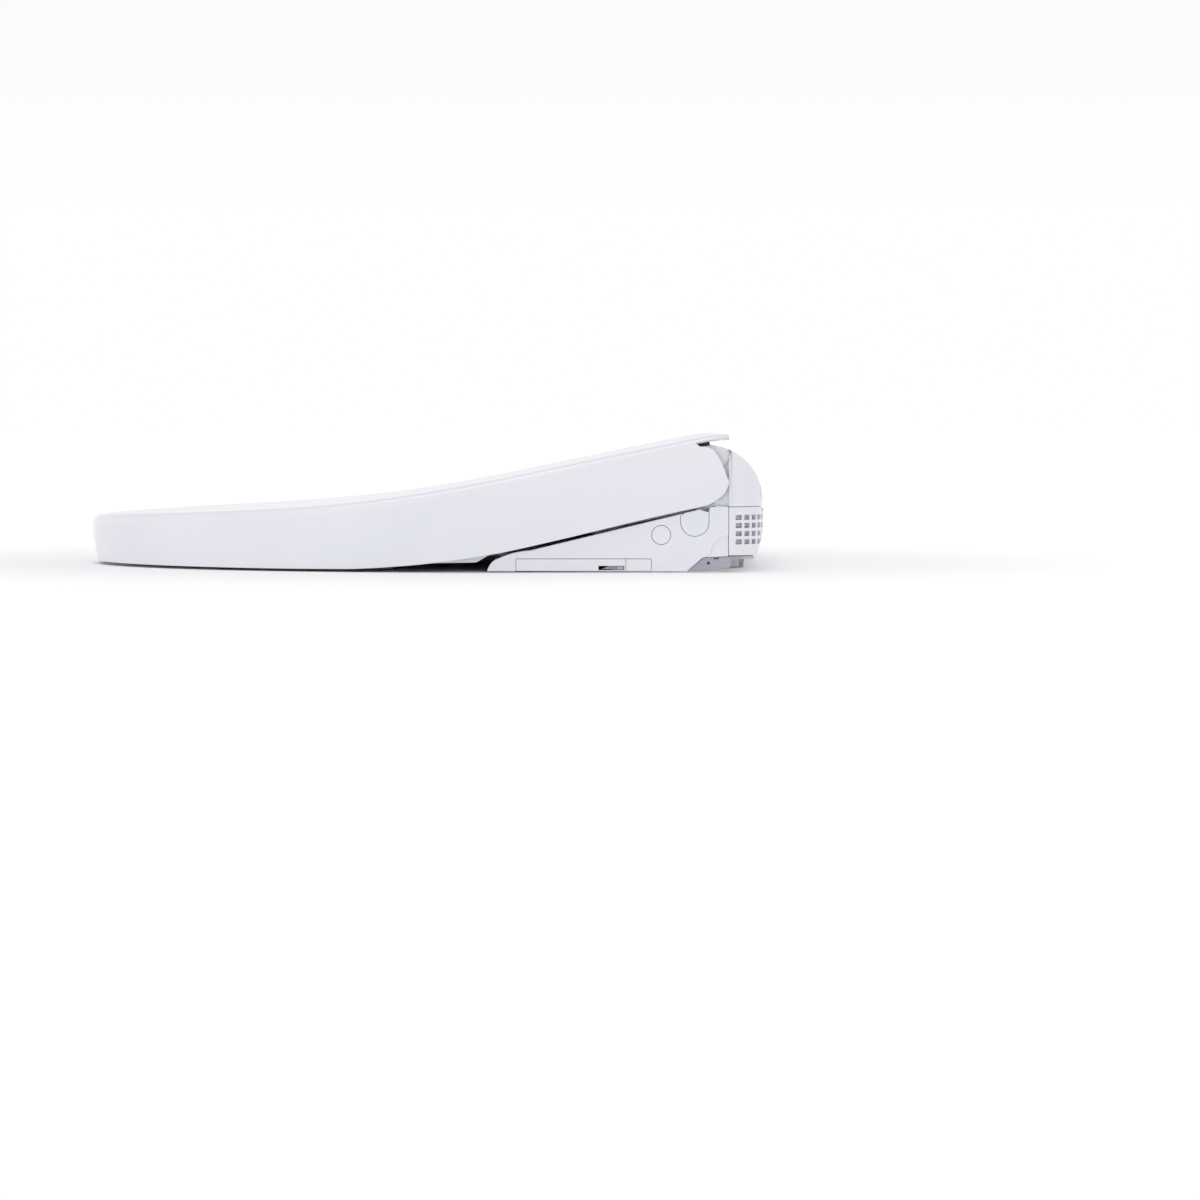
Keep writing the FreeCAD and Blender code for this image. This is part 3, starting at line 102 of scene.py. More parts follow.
def noise(tree, place, size, detail=2, roughness=0.5):
    # a noise whose blobs are about this many millimetres across
    return addNode(tree, "ShaderNodeTexNoise", {
        "Vector": place, "Scale": 1 / (size * mm), "Detail": detail, "Roughness": roughness,
    }).outputs["Fac"]


def spread(tree, value, low, high, fromLow=0.3, fromHigh=0.7):
    return addNode(tree, "ShaderNodeMapRange", {
        "Value": value, "From Min": fromLow, "From Max": fromHigh, "To Min": low, "To Max": high,
    }).outputs["Result"]


def mixColours(tree, factor, first, second):
    node = addNode(tree, "ShaderNodeMix", {0: factor}, data_type="RGBA")
    for index, colour in ((6, first), (7, second)):
        if isinstance(colour, bpy.types.NodeSocket):
            tree.links.new(colour, node.inputs[index])
        else:
            node.inputs[index].default_value = toLinear(colour)
    return node.outputs[2]


def bump(tree, height, depth, normal=None):
    links = {"Height": height, "Distance": depth * mm}
    if normal:
        links["Normal"] = normal
    return addNode(tree, "ShaderNodeBump", links).outputs["Normal"]


def mouldedPlastic(name, light, dark, rough, grain, grainDepth, ior=1.49, coat=0.0,
                   peelDepth=0.01):
    # Injection moulding: an even colour with a slow tint drift from the melt flow, a fine skin
    # copied from the steel of the mould, and patches that hands have polished a little.
    material, tree, shader, place = startMaterial(name)
    flow = noise(tree, place, 90, 2)
    shade = mixColours(tree, spread(tree, flow, 0, 1), light, dark)
    if grainDepth > 0.01:
        speck = spread(tree, noise(tree, place, 1.1, 3), 0, 0.06, 0.62, 0.8)
        shade = mixColours(tree, speck, shade, "#b9b7b2")
    tree.links.new(shade, shader.inputs["Base Color"])
    handled = spread(tree, noise(tree, place, 38, 4, 0.6), rough[0], rough[1])
    tree.links.new(handled, shader.inputs["Roughness"])
    peel = bump(tree, noise(tree, place, 7, 1), peelDepth)
    skin = bump(tree, noise(tree, place, grain, 2), grainDepth, peel)
    tree.links.new(skin, shader.inputs["Normal"])
    shader.inputs["IOR"].default_value = ior
    if coat:
        shader.inputs["Coat Weight"].default_value = coat
        shader.inputs["Coat Roughness"].default_value = 0.06
    return material


def turnedMetal(name, light, dark, rough, pitch):
    # Turned on a lathe: fine rings round the Z axis of the bolt, brighter on their crests.
    material, tree, shader, place = startMaterial(name)
    rings = addNode(tree, "ShaderNodeTexWave", {
        "Vector": place, "Scale": 1 / (pitch * mm) / 20, "Distortion": 0.4, "Detail": 1.0,
    }, wave_type="BANDS", bands_direction="Z").outputs["Fac"]
    stain = noise(tree, place, 14, 4)
    tree.links.new(mixColours(tree, spread(tree, stain, 0, 1), light, dark),
                   shader.inputs["Base Color"])
    tree.links.new(spread(tree, stain, rough[0], rough[1]), shader.inputs["Roughness"])
    tree.links.new(bump(tree, rings, 0.03), shader.inputs["Normal"])
    shader.inputs["Metallic"].default_value = 1.0
    return material


def mouldedRubber(name, light, dark):
    # Moulded elastomer: matt, slightly dusty, with the dull bloom that rubber gets.
    material, tree, shader, place = startMaterial(name)
    bloom = noise(tree, place, 9, 4, 0.65)
    tree.links.new(mixColours(tree, spread(tree, bloom, 0, 1), light, dark),
                   shader.inputs["Base Color"])
    tree.links.new(spread(tree, bloom, 0.62, 0.8), shader.inputs["Roughness"])
    tree.links.new(bump(tree, noise(tree, place, 0.7, 2), 0.05), shader.inputs["Normal"])
    shader.inputs["Sheen Weight"].default_value = 0.15
    return material


def rolledFoil():
    # Aluminium foil laid over a heating wire: bright, softly creased.
    material, tree, shader, place = startMaterial("rolledAluminiumFoil")
    crease = addNode(tree, "ShaderNodeTexVoronoi", {
        "Vector": place, "Scale": 1 / (6 * mm), "Randomness": 1.0,
    }, feature="DISTANCE_TO_EDGE").outputs["Distance"]
    tree.links.new(mixColours(tree, spread(tree, noise(tree, place, 20, 3), 0, 1), "#d9dadb",
                              "#c3c5c7"), shader.inputs["Base Color"])
    tree.links.new(bump(tree, crease, 0.4), shader.inputs["Normal"])
    shader.inputs["Metallic"].default_value = 1.0
    shader.inputs["Roughness"].default_value = 0.32
    return material


def solderMask():
    # Glass-epoxy board under green lacquer, with copper tracks that show through it.
    material, tree, shader, place = startMaterial("lacqueredCircuitBoard")
    tracks = addNode(tree, "ShaderNodeTexBrick", {
        "Vector": place, "Scale": 1 / (9 * mm), "Mortar Size": 0.045, "Mortar Smooth": 0.1,
        "Color1": toLinear("#14502f"), "Color2": toLinear("#185a36"),
        "Mortar": toLinear("#2f7d4a"),
    })
    tree.links.new(tracks.outputs["Color"], shader.inputs["Base Color"])
    tree.links.new(bump(tree, tracks.outputs["Fac"], 0.04), shader.inputs["Normal"])
    tree.links.new(spread(tree, noise(tree, place, 12), 0.25, 0.36), shader.inputs["Roughness"])
    return material


def carbonMat():
    # Needled carbon felt: black, open, with loose fibre ends.
    material, tree, shader, place = startMaterial("needledCarbonFelt")
    pores = addNode(tree, "ShaderNodeTexVoronoi", {"Vector": place, "Scale": 1 / (1.6 * mm)})
    distance = pores.outputs["Distance"]
    # the pits, where the bump is lowest, are painted darker: painted shade in the pores
    tree.links.new(mixColours(tree, spread(tree, distance, 0, 1, 0.1, 0.6), "#0d0d0f", "#2c2c30"),
                   shader.inputs["Base Color"])
    tree.links.new(bump(tree, distance, 0.5), shader.inputs["Normal"])
    shader.inputs["Roughness"].default_value = 0.95
    shader.inputs["Sheen Weight"].default_value = 0.3
    return material


materials = {
    # gloss moulded white, a trace cooler than paper: broad soft highlights, quiet orange peel
    "shell_white": mouldedPlastic("mouldedGlossAbs", "#eeeff4", "#e9eaf0", (0.14, 0.22),
                                  2.4, 0.0012, ior=1.53, peelDepth=0.003),
    "seat_white": mouldedPlastic("mouldedGlossPolypropylene", "#f0f1f5", "#ebecf1", (0.18, 0.27),
                                 2.4, 0.0012, peelDepth=0.003),
    # spark-textured white of the hidden case: drawn at 0.9 mm, real grain is about 0.1 mm
    "case_white": mouldedPlastic("sparkTexturedAbs", "#e6e7ea", "#dcdde1", (0.42, 0.55),
                                 0.9, 0.03),
    "bracket_grey": mouldedPlastic("sparkTexturedGreyAbs", "#b3b4be", "#a3a4af", (0.4, 0.52),
                                   0.9, 0.04),
    "dark_plastic": mouldedPlastic("mattBlackNylon", "#1d1d20", "#141416", (0.45, 0.6), 0.9, 0.05),
    "window": mouldedPlastic("smokedPolycarbonate", "#17171b", "#101013", (0.05, 0.1), 4.0, 0.001,
                             ior=1.58, coat=0.6),
    "rubber_grey": mouldedRubber("mouldedElastomer", "#a2a2a6", "#929297"),
    "steel": turnedMetal("turnedStainlessSteel", "#c4c6c8", "#a9abae", (0.22, 0.36), 1.25),
    "brass": turnedMetal("nickelPlatedBrass", "#cfc3a2", "#b7a986", (0.2, 0.34), 1.8),
    "foil": rolledFoil(),
    "pcb": solderMask(),
    "filter_foam": carbonMat(),
}
slotOf = {part["node"]: part["material_slot"] for part in frame["record"]["subparts"]}
for name, node in frame["nodes"].items():
    node.data.materials.clear()
    node.data.materials.append(materials[slotOf[name]])
print("materials made:", len(materials))


# mesh steps that several pieces share

def sharpEdges(bm, angle):
    return [edge for edge in bm.edges
            if len(edge.link_faces) == 2 and edge.calc_face_angle(0) > radians(angle)]


def roundEdges(bm, width, angle=35, segments=2, edges=None):
    chosen = sharpEdges(bm, angle) if edges is None else edges
    bmesh.ops.bevel(bm, geom=chosen, offset=width, offset_type="OFFSET", segments=segments,
                    profile=0.5, affect="EDGES", material=-1, clamp_overlap=False)


def finishPiece(name, bm, body, slotName, stands):
    bmesh.ops.scale(bm, vec=(mm, mm, mm), verts=bm.verts[:])
    mesh = bpy.data.meshes.new(name)
    bm.to_mesh(mesh)
    bm.free()
    mesh.shade_smooth()
    mesh.materials.append(materials[slotName])
    piece = bpy.data.objects.new(name, mesh)
    scene.collection.objects.link(piece)
    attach(piece, body)
    if stands:
        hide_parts(*stands)
    return piece


def keepFlats(piece):
    # flat faces keep flat shading beside their rounded edges
    modifier = piece.modifiers.new("flats", "WEIGHTED_NORMAL")
    modifier.keep_sharp = True
    modifier.weight = 60


def copyOfNode(name, change=None, leave=None):
    # change alters the loose triangles before flat faces are joined up; leave picks faces, such as
    # a front full of holes, that stay as they are
    bm = bmesh.new()
    bm.from_mesh(frame["nodes"][name].data)
    bmesh.ops.scale(bm, vec=(1 / mm, 1 / mm, 1 / mm), verts=bm.verts[:])
    bmesh.ops.remove_doubles(bm, verts=bm.verts[:], dist=0.002)
    if change:
        change(bm)
    edges = bm.edges[:]
    if leave:
        edges = [e for e in edges if not any(leave(face) for face in e.link_faces)]
    bmesh.ops.dissolve_limit(bm, angle_limit=radians(0.6), verts=[], edges=edges,
                             delimit={"NORMAL"})
    return bm


# pieces whose design shape is right: their edges get the radius, in mm, that a mould gives them

edgeRadius = {
    "top_cover": 0.5, "rear_panel": 0.35, "side_panel_left": 0.5, "side_panel_right": 0.5,
    "screw_caps": 0.15, "hinge_covers": 0.15, "service_cap": 0.2, "bottom_case": 0.5,
    "nozzle_cover": 0.6, "mounting_plate": 0.6, "adjuster_plates": 0.3, "rear_bumpers": 0.4,
    "case_feet": 0.4, "seat_lower": 0.4, "seat_bumpers": 0.8, "lid_bumpers": 0.8,
    "filter_drawer": 0.2, "drawer_latch": 0.2, "button_stop": 0.3, "button_rear_wash": 0.3,
    "button_front_wash": 0.3, "release_button": 0.4, "dryer_flap": 0.3,
    "flap_hinge": 0.2, "cord_gland": 0.4, "inlet_block": 0.8, "water_heater": 1.5,
    "valve_block": 0.8, "dryer_housing": 0.5, "deodoriser_housing": 0.5, "nozzle_guide": 0.5,
    "nozzle_motor": 0.6, "wand_tip": 0.4, "expansion_nuts": 0.4, "seat_sensor": 0.3,
    "expansion_bushings": 0.5, "mounting_bolts": 0.3, "inlet_nipple": 0.5, "dryer_motor": 0.8,
    "deodoriser_motor": 0.8, "seat_damper": 0.8, "lid_damper": 0.8, "hinge_shafts": 0.4,
}
bodyOf = {node: body for body, nodes in frame["record"]["behaviour"]["bodies"].items()
          for node in nodes}
hingeEndSpec = {
    "y": 8, "z": 52,                    # the shaft's axis
    "holeRadius": 4.7,                  # what the notch and the cheek's hole close in to
    "onCircle": 0.06,                   # a point this near a circle counts as on it
    "notchRadius": 7.5, "armX": 183, "armTopZ": 48.3,
    "cheekHoleRadius": 6.9, "cheekX": 184, "cheekBottomZ": 48.6, "cheekHoleDepth": 3.2,
    "faceX": 188.5, "stepY": 23.5, "stepRun": 0.15, "cheekStep": 2.2,
}
topCoverSpec = {"frontY": -70, "plainX": 183, "plainY": (20, 25)}


def closeArmNotch(bm):
    # the notch round the lid's boss is drawn up to a small dip round the shaft
    spec = hingeEndSpec
    for vert in bm.verts:
        dy, dz = vert.co.y - spec["y"], vert.co.z - spec["z"]
        onNotch = abs(hypot(dy, dz) - spec["notchRadius"]) < spec["onCircle"]
        if abs(vert.co.x) > spec["armX"] and onNotch:
            dip = spec["holeRadius"] ** 2 - dy * dy
            low = spec["z"] - sqrt(dip) if dip > 0 else spec["armTopZ"]
            vert.co.z = min(spec["armTopZ"], low)


def closeCheek(bm):
    # the hole closes in on the shaft, and the cheek steps in from the dome's side
    spec = hingeEndSpec
    for plane in (spec["stepY"], spec["stepY"] + spec["stepRun"]):
        bmesh.ops.bisect_plane(bm, geom=bm.verts[:] + bm.edges[:] + bm.faces[:],
                               plane_co=(0, plane, 0), plane_no=(0, 1, 0))
    for vert in bm.verts:
        side = 1 if vert.co.x > 0 else -1
        dy, dz = vert.co.y - spec["y"], vert.co.z - spec["z"]
        distance = hypot(dy, dz)
        onHole = abs(distance - spec["cheekHoleRadius"]) < spec["onCircle"]
        if abs(vert.co.x) > spec["cheekX"] and onHole:
            share = spec["holeRadius"] / distance
            vert.co.y, vert.co.z = spec["y"] + dy * share, spec["z"] + dz * share
            if vert.co.z < spec["cheekBottomZ"] or dz < -spec["cheekHoleDepth"]:
                reach = sqrt(spec["holeRadius"] ** 2 - (spec["z"] - spec["cheekBottomZ"]) ** 2)
                vert.co.y = spec["y"] + (reach if dy > 0 else -reach)
                vert.co.z = spec["cheekBottomZ"]
        if abs(vert.co.x) > spec["faceX"] - 0.05 and vert.co.y < spec["stepY"] + 0.01:
            vert.co.x -= side * spec["cheekStep"]


def pierced(face):
    # the top cover's front wall, which the openings pass through
    return face.normal.y < -0.99 and face.calc_center_median().y < topCoverSpec["frontY"]


def clearOfCheek(edge):
    # the cheek's step is too fine to take a radius
    low, high = topCoverSpec["plainY"]
    return all(abs(vert.co.x) < topCoverSpec["plainX"] or not low < vert.co.y < high
               for vert in edge.verts)


hingeEndChange = {"side_panel_left": closeArmNotch, "side_panel_right": closeArmNotch,
                  "top_cover": closeCheek}
for name, radius in edgeRadius.items():
    bm = copyOfNode(name, hingeEndChange.get(name), pierced if name == "top_cover" else None)
    edges = [e for e in sharpEdges(bm, 35) if name != "top_cover" or clearOfCheek(e)]
    roundEdges(bm, radius, edges=edges)
    keepFlats(finishPiece(name + "_moulded", bm, bodyOf[name], slotOf[name], [name]))
print("edges rounded on", len(edgeRadius), "pieces")


grilleSpec = {
    "cornerX": 156.5, "cornerY": 18.3, "radius": 28.9, "lowZ": 18.4, "highZ": 45.6,
    "depth": 1.5, "pitch": 2.6, "slant": 0.8, "thickness": 0.8,
    "straightRun": 3, "bend": 92, "bendSteps": 22,
}


def makeGrilleCore(spec):
    # slanted vanes behind the vent openings, bent round the rear corners of the case
    bm = bmesh.new()
    for side in (-1, 1):
        z, points = spec["lowZ"], []
        while z < spec["highZ"]:
            points.append((spec["radius"], z))
            points.append((spec["radius"] - spec["depth"], z + spec["pitch"] * spec["slant"]))
            z += spec["pitch"]
        startY = spec["cornerY"] - spec["straightRun"]
        chain = [bm.verts.new((side * (spec["cornerX"] + reach), startY, height))
                 for reach, height in points]
        edges = [bm.edges.new(pair) for pair in zip(chain, chain[1:])]
        made = bmesh.ops.extrude_edge_only(bm, edges=edges)["geom"]
        ends = [g for g in made if isinstance(g, bmesh.types.BMEdge) and g.is_boundary
                and abs(g.verts[0].co.z - g.verts[1].co.z) > 0.01]
        moved = list({v for e in ends for v in e.verts})
        bmesh.ops.translate(bm, verts=moved, vec=(0, spec["straightRun"], 0))
        bmesh.ops.spin(bm, geom=ends + moved, cent=(side * spec["cornerX"], spec["cornerY"], 0),
                       axis=(0, 0, side), angle=radians(spec["bend"]), steps=spec["bendSteps"],
                       use_merge=False)
    bmesh.ops.remove_doubles(bm, verts=bm.verts[:], dist=0.001)
    bmesh.ops.recalc_face_normals(bm, faces=bm.faces[:])
    piece = finishPiece("grille_vanes", bm, "main_unit", "case_white", [])
    thick = piece.modifiers.new("vanes", "SOLIDIFY")
    thick.thickness = spec["thickness"] * mm
    thick.offset = 0


makeGrilleCore(grilleSpec)
print("grille vanes made")


bracketSpec = {
    "outline": [(-7, 0.5), (24.6, 3.4), (26, 11.2), (16.4, 10.8), (16.2, 9.4), (12.6, 9.3),
                (12.4, 10.7), (4.8, 10.4)],
    "innerX": 183, "faceX": 187.5, "inset": 1.1, "step": 0.5, "edge": 0.2,
    "holePlace": (8.6, 6.6), "holeRadius": 1.1, "holeProud": 0.06,
}


def makeBrackets(spec):
    # grey brackets with a sunk face, and on each a flat dark disc that paints the shade in the
    # mouth of a screw hole
    bm = bmesh.new()
    holes = bmesh.new()
    holeX = spec["faceX"] - spec["step"] + spec["holeProud"]
    for side in (-1, 1):
        verts = [bm.verts.new((side * spec["innerX"], y, z)) for y, z in spec["outline"]]
        face = bm.faces.new(verts)
        made = bmesh.ops.extrude_face_region(bm, geom=[face])["geom"]
        front = [g for g in made if isinstance(g, bmesh.types.BMFace)]
        bmesh.ops.translate(bm, verts=[g for g in made if isinstance(g, bmesh.types.BMVert)],
                            vec=(side * (spec["faceX"] - spec["innerX"]), 0, 0))
        bmesh.ops.inset_region(bm, faces=front, thickness=spec["inset"], depth=0,
                               use_even_offset=True)
        bmesh.ops.translate(bm, verts=list({v for f in front for v in f.verts}),
                            vec=(-side * spec["step"], 0, 0))
        # a dark disc just proud of the sunk face: painted shade of the hole's mouth
        disc = bmesh.ops.create_circle(holes, cap_ends=True, segments=20,
                                       radius=spec["holeRadius"])
        bmesh.ops.rotate(holes, verts=disc["verts"], cent=(0, 0, 0),
                         matrix=Matrix.Rotation(side * pi / 2, 3, "Y"))
        bmesh.ops.translate(holes, verts=disc["verts"],
                            vec=(side * holeX, *spec["holePlace"]))
    bmesh.ops.recalc_face_normals(bm, faces=bm.faces[:])
    roundEdges(bm, spec["edge"], angle=40)
    keepFlats(finishPiece("lower_brackets_moulded", bm, "main_unit", "bracket_grey",
                          ["lower_brackets"]))
    finishPiece("bracket_hole_shade", holes, "main_unit", "dark_plastic", [])


makeBrackets(bracketSpec)
print("brackets made")


notchShadeSpec = {
    "outline": [(0.5, 92.6), (9.6, 93.4), (9.2, 96.2), (0.8, 95.0)],
    "outerX": 187.2, "innerX": 181, "edge": 0.6,
}


def makeNotchShade(spec):
    # blocks that the lid's rear lip comes down on, coloured black to paint the shade of the notch
    # under the lip
    bm = bmesh.new()
    for side in (-1, 1):
        face = bm.faces.new([bm.verts.new((side * spec["outerX"], y, z))
                             for y, z in spec["outline"]])
        made = bmesh.ops.extrude_face_region(bm, geom=[face])["geom"]
        bmesh.ops.translate(bm, verts=[g for g in made if isinstance(g, bmesh.types.BMVert)],
                            vec=(side * (spec["innerX"] - spec["outerX"]), 0, 0))
    bmesh.ops.recalc_face_normals(bm, faces=bm.faces[:])
    roundEdges(bm, spec["edge"], angle=40, segments=3)
    finishPiece("lid_notch_shade", bm, "main_unit", "dark_plastic", [])


makeNotchShade(notchShadeSpec)
print("notch shade blocks made")


# lid

def smoothLine(points):
    # a smooth curve through the points, giving its height at a station
    slopes = []
    for index in range(len(points)):
        before, after = points[max(index - 1, 0)], points[min(index + 1, len(points) - 1)]
        slopes.append((after[1] - before[1]) / (after[0] - before[0]))

    def height(station):
        station = min(max(station, points[0][0]), points[-1][0])
        index = max(i for i in range(len(points) - 1) if points[i][0] <= station)
        (x0, y0), (x1, y1) = points[index], points[index + 1]
        span = x1 - x0
        t = (station - x0) / span
        return ((2 * t ** 3 - 3 * t ** 2 + 1) * y0
                + (t ** 3 - 2 * t ** 2 + t) * span * slopes[index]
                + (3 * t ** 2 - 2 * t ** 3) * y1
                + (t ** 3 - t ** 2) * span * slopes[index + 1])
    return height


lidLow, lidHigh = nodeBox("lid_shell")
lidSpec = {
    "noseLength": 330,          # half oval in front, straight sides behind
    "wall": 3.0,
    "edgeRadius": 7.0,          # seen from above
    "edgeDepth": 6.0,           # seen from the side
    "lipThinning": 3.4, "thinFromY": -60, "thinRun": 80,    # the edge thins towards the lip
    "edgeSteps": 7,
    "noseDraft": 4.0,
    "joinY": -1.0,              # behind this the lip stands free of the side wall
    "noseLines": 70, "sideLines": 20, "lipLines": 5, "widthLines": 56, "wallRows": 9,
    "lipStep": 0.7,             # the side wall is set in below the lip
    "stepFromY": -175, "stepRun": 50, "stepRows": 12, "firstRow": 0.05,
    "rearStations": (2, 5, 8.5, 12, 15, 18, 20.5, 22.4, 23.4),
    "rimRadius": 0.7,
    "top": [(-473, 35.5), (-466, 38.0), (-455, 39.0), (-404, 41.6), (-350, 44.0), (-300, 47.0),
            (-250, 51.6), (-200, 58.7), (-150, 68.0), (-100, 78.4), (-50, 88.7), (-4, 98.2),
            (10, 100.8), (22, 101.7)],
    "lower": [(-473, 2.0), (-262, 1.8), (-219, 4.2), (-182, 8.2), (-145, 14.2), (-108, 22.4),
              (-71, 31.2), (-35, 39.8), (-12, 45.0), (2, 48.0), (10.5, 50.6), (17, 55.0),
              (21, 59.0), (23.4, 64.6)],
    "upperRear": [(-1, 92.6), (4, 92.6), (8.5, 92.2), (12, 90.5), (16, 85), (20, 77), (23.4, 68)],
}


def lidPlan(spec):
    halfWidth, reach = lidHigh.x, -lidLow.y
    centreY = spec["noseLength"] - reach
    return halfWidth, centreY


def makeLid(spec):
    halfWidth, centreY = lidPlan(spec)
    top, lower = smoothLine(spec["top"]), smoothLine(spec["lower"])
    upperRear = smoothLine(spec["upperRear"])
    radius = spec["edgeRadius"]
    rows = spec["noseLines"] + spec["sideLines"] + spec["lipLines"]
    columns = spec["widthLines"]
    bm = bmesh.new()
    bmesh.ops.create_grid(bm, x_segments=columns, y_segments=rows, size=1)
    unit = bm.verts.layers.float_vector.new("unit")

    def planPoint(flat, grow):
        # flat is a place on the plan of half width 1: half disc in front, strip behind
        wide, length = halfWidth - radius + grow, spec["noseLength"] - radius + grow
        if flat.y < 0:
            return flat.x * wide, centreY + flat.y * length
        return flat.x * wide, centreY + flat.y

    sideStep = (spec["joinY"] - centreY) / spec["sideLines"]
    lipStep = (lidHigh.y - spec["joinY"]) / spec["lipLines"]
    for vert in bm.verts:
        row = round((vert.co.y + 1) / 2 * rows)
        u = vert.co.x
        if row < spec["noseLines"]:
            v = 1 - row / spec["noseLines"]
            flat = Vector((u * sqrt(1 - v * v / 2), -v * sqrt(1 - u * u / 2), 0))
        else:
            behind = row - spec["noseLines"]
            sides = min(behind, spec["sideLines"])
            flat = Vector((u, sides * sideStep + (behind - sides) * lipStep, 0))
        vert[unit] = flat
        x, y = planPoint(flat, 0)
        vert.co = (x, y, top(y))

    def rearMost(vert):
        return vert.co.y > lidHigh.y - 0.01

    def edgeDepth(y):
        thinned = max(0, min(1, (y - spec["thinFromY"]) / spec["thinRun"]))
        return spec["edgeDepth"] - spec["lipThinning"] * thinned

    rim = [e for e in bm.edges if e.is_boundary and not all(rearMost(v) for v in e.verts)]
    for step in range(1, spec["edgeSteps"] + 1):
        angle = step / spec["edgeSteps"] * pi / 2
        made = bmesh.ops.extrude_edge_only(bm, edges=rim)["geom"]
        rim = [g for g in made if isinstance(g, bmesh.types.BMEdge) and g.is_boundary
               and not all(rearMost(v) for v in g.verts)]
        for vert in {v for e in rim for v in e.verts}:
            x, y = planPoint(vert[unit], radius * sin(angle))
            vert.co = (x, y, top(y) - edgeDepth(y) * (1 - cos(angle)))

    def wallPoint(vert, share):
        x, y = planPoint(vert[unit], radius)
        high = top(y) - edgeDepth(y)
        low = lower(y)
        nose = max(0, -vert[unit].y) ** 2
        inset = spec["noseDraft"] * nose * share
        behind = max(0, min(1, (y - spec["stepFromY"]) / spec["stepRun"]))
        inset += spec["lipStep"] * behind * min(1, share * spec["stepRows"])
        scale = 1 - inset / hypot(x, y - centreY)
        height = high + (low - high) * share
        if y < centreY:
            return Vector((x * scale, centreY + (y - centreY) * scale, height))
        return Vector((x - inset * (1 if x > 0 else -1), y, height))

    rim = [e for e in rim if all(v.co.y < spec["joinY"] + 0.01 for v in e.verts)]
    shares = [spec["firstRow"]] + [row / spec["wallRows"] for row in range(1, spec["wallRows"] + 1)]
    for share in shares:
        made = bmesh.ops.extrude_edge_only(bm, edges=rim)["geom"]
        rim = [g for g in made if isinstance(g, bmesh.types.BMEdge) and g.is_boundary
               and len({round(v[unit].y, 4) + round(v[unit].x, 4) for v in g.verts}) == 2]
        for vert in {v for e in rim for v in e.verts}:
            vert.co = wallPoint(vert, share)
    for side in (-1, 1):
        chain = [e for e in bm.edges if e.is_boundary
                 and all(abs(v.co.y - spec["joinY"]) < 0.01 and v.co.x * side > 0 for v in e.verts)
                 and abs(e.verts[0].co.z - e.verts[1].co.z) > 0.2]
        highest = max(v.co.z for e in chain for v in e.verts)
        lowest = min(v.co.z for e in chain for v in e.verts)
        for station in spec["rearStations"]:
            made = bmesh.ops.extrude_edge_only(bm, edges=chain)["geom"]
            chain = [g for g in made if isinstance(g, bmesh.types.BMEdge) and g.is_boundary
                     and abs(g.verts[0].co.z - g.verts[1].co.z) > 0.02]
            high, low = upperRear(station), lower(station)
            verts = {v for e in chain for v in e.verts}
            for vert in verts:
                share = (highest - vert.co.z) / (highest - lowest)
                vert.co = (side * (halfWidth - spec["lipStep"]), station,
                           high + (low - high) * share)
            highest, lowest = high, low
    bmesh.ops.remove_doubles(bm, verts=bm.verts[:], dist=0.01)
    bmesh.ops.recalc_face_normals(bm, faces=bm.faces[:])
    crown = max(bm.faces, key=lambda face: face.calc_center_median().z)
    if crown.normal.z < 0:
        bmesh.ops.reverse_faces(bm, faces=bm.faces[:])
    piece = finishPiece("lid_cover", bm, "lid", "shell_white", ["lid_shell"])
    thick = piece.modifiers.new("wall", "SOLIDIFY")
    thick.thickness = spec["wall"] * mm
    thick.offset = -1
    thick.use_even_offset = True
    soft = piece.modifiers.new("rim", "BEVEL")
    soft.width = spec["rimRadius"] * mm
    soft.segments = 3
    soft.angle_limit = radians(50)
    soft.use_clamp_overlap = False
    keepFlats(piece)


bossSpec = {"radius": 4.3, "length": 5.6, "bore": 3.56, "faceX": 190.1, "y": 8, "z": 52}
ribSpec = {"insets": (15, 16.6), "depth": 5.5, "points": 120, "rearY": -18, "overlap": 0.2,
           "edge": 0.4}


def tube(bm, place, outer, inner, length):
    # a short tube along X from place, both ends closed round the bore
    made = bmesh.ops.create_circle(bm, segments=48, radius=outer)["verts"]
    edges = list({e for v in made for e in v.link_edges})
    steps = [(outer, length), (inner, length), (inner, 0)]
    bmesh.ops.rotate(bm, verts=made, cent=(0, 0, 0), matrix=Matrix.Rotation(pi / 2, 3, "Y"))
    everything = list(made)
    first, radius, reach = edges, outer, 0
    for nextRadius, nextReach in steps:
        geom = bmesh.ops.extrude_edge_only(bm, edges=edges)["geom"]
        made = [g for g in geom if isinstance(g, bmesh.types.BMVert)]
        edges = [g for g in geom if isinstance(g, bmesh.types.BMEdge) and g.is_boundary]
        bmesh.ops.scale(bm, verts=made, vec=(1, nextRadius / radius, nextRadius / radius))
        bmesh.ops.translate(bm, verts=made, vec=(nextReach - reach, 0, 0))
        radius, reach = nextRadius, nextReach
        everything += made
    bmesh.ops.bridge_loops(bm, edges=first + edges)
    bmesh.ops.translate(bm, verts=everything, vec=place)


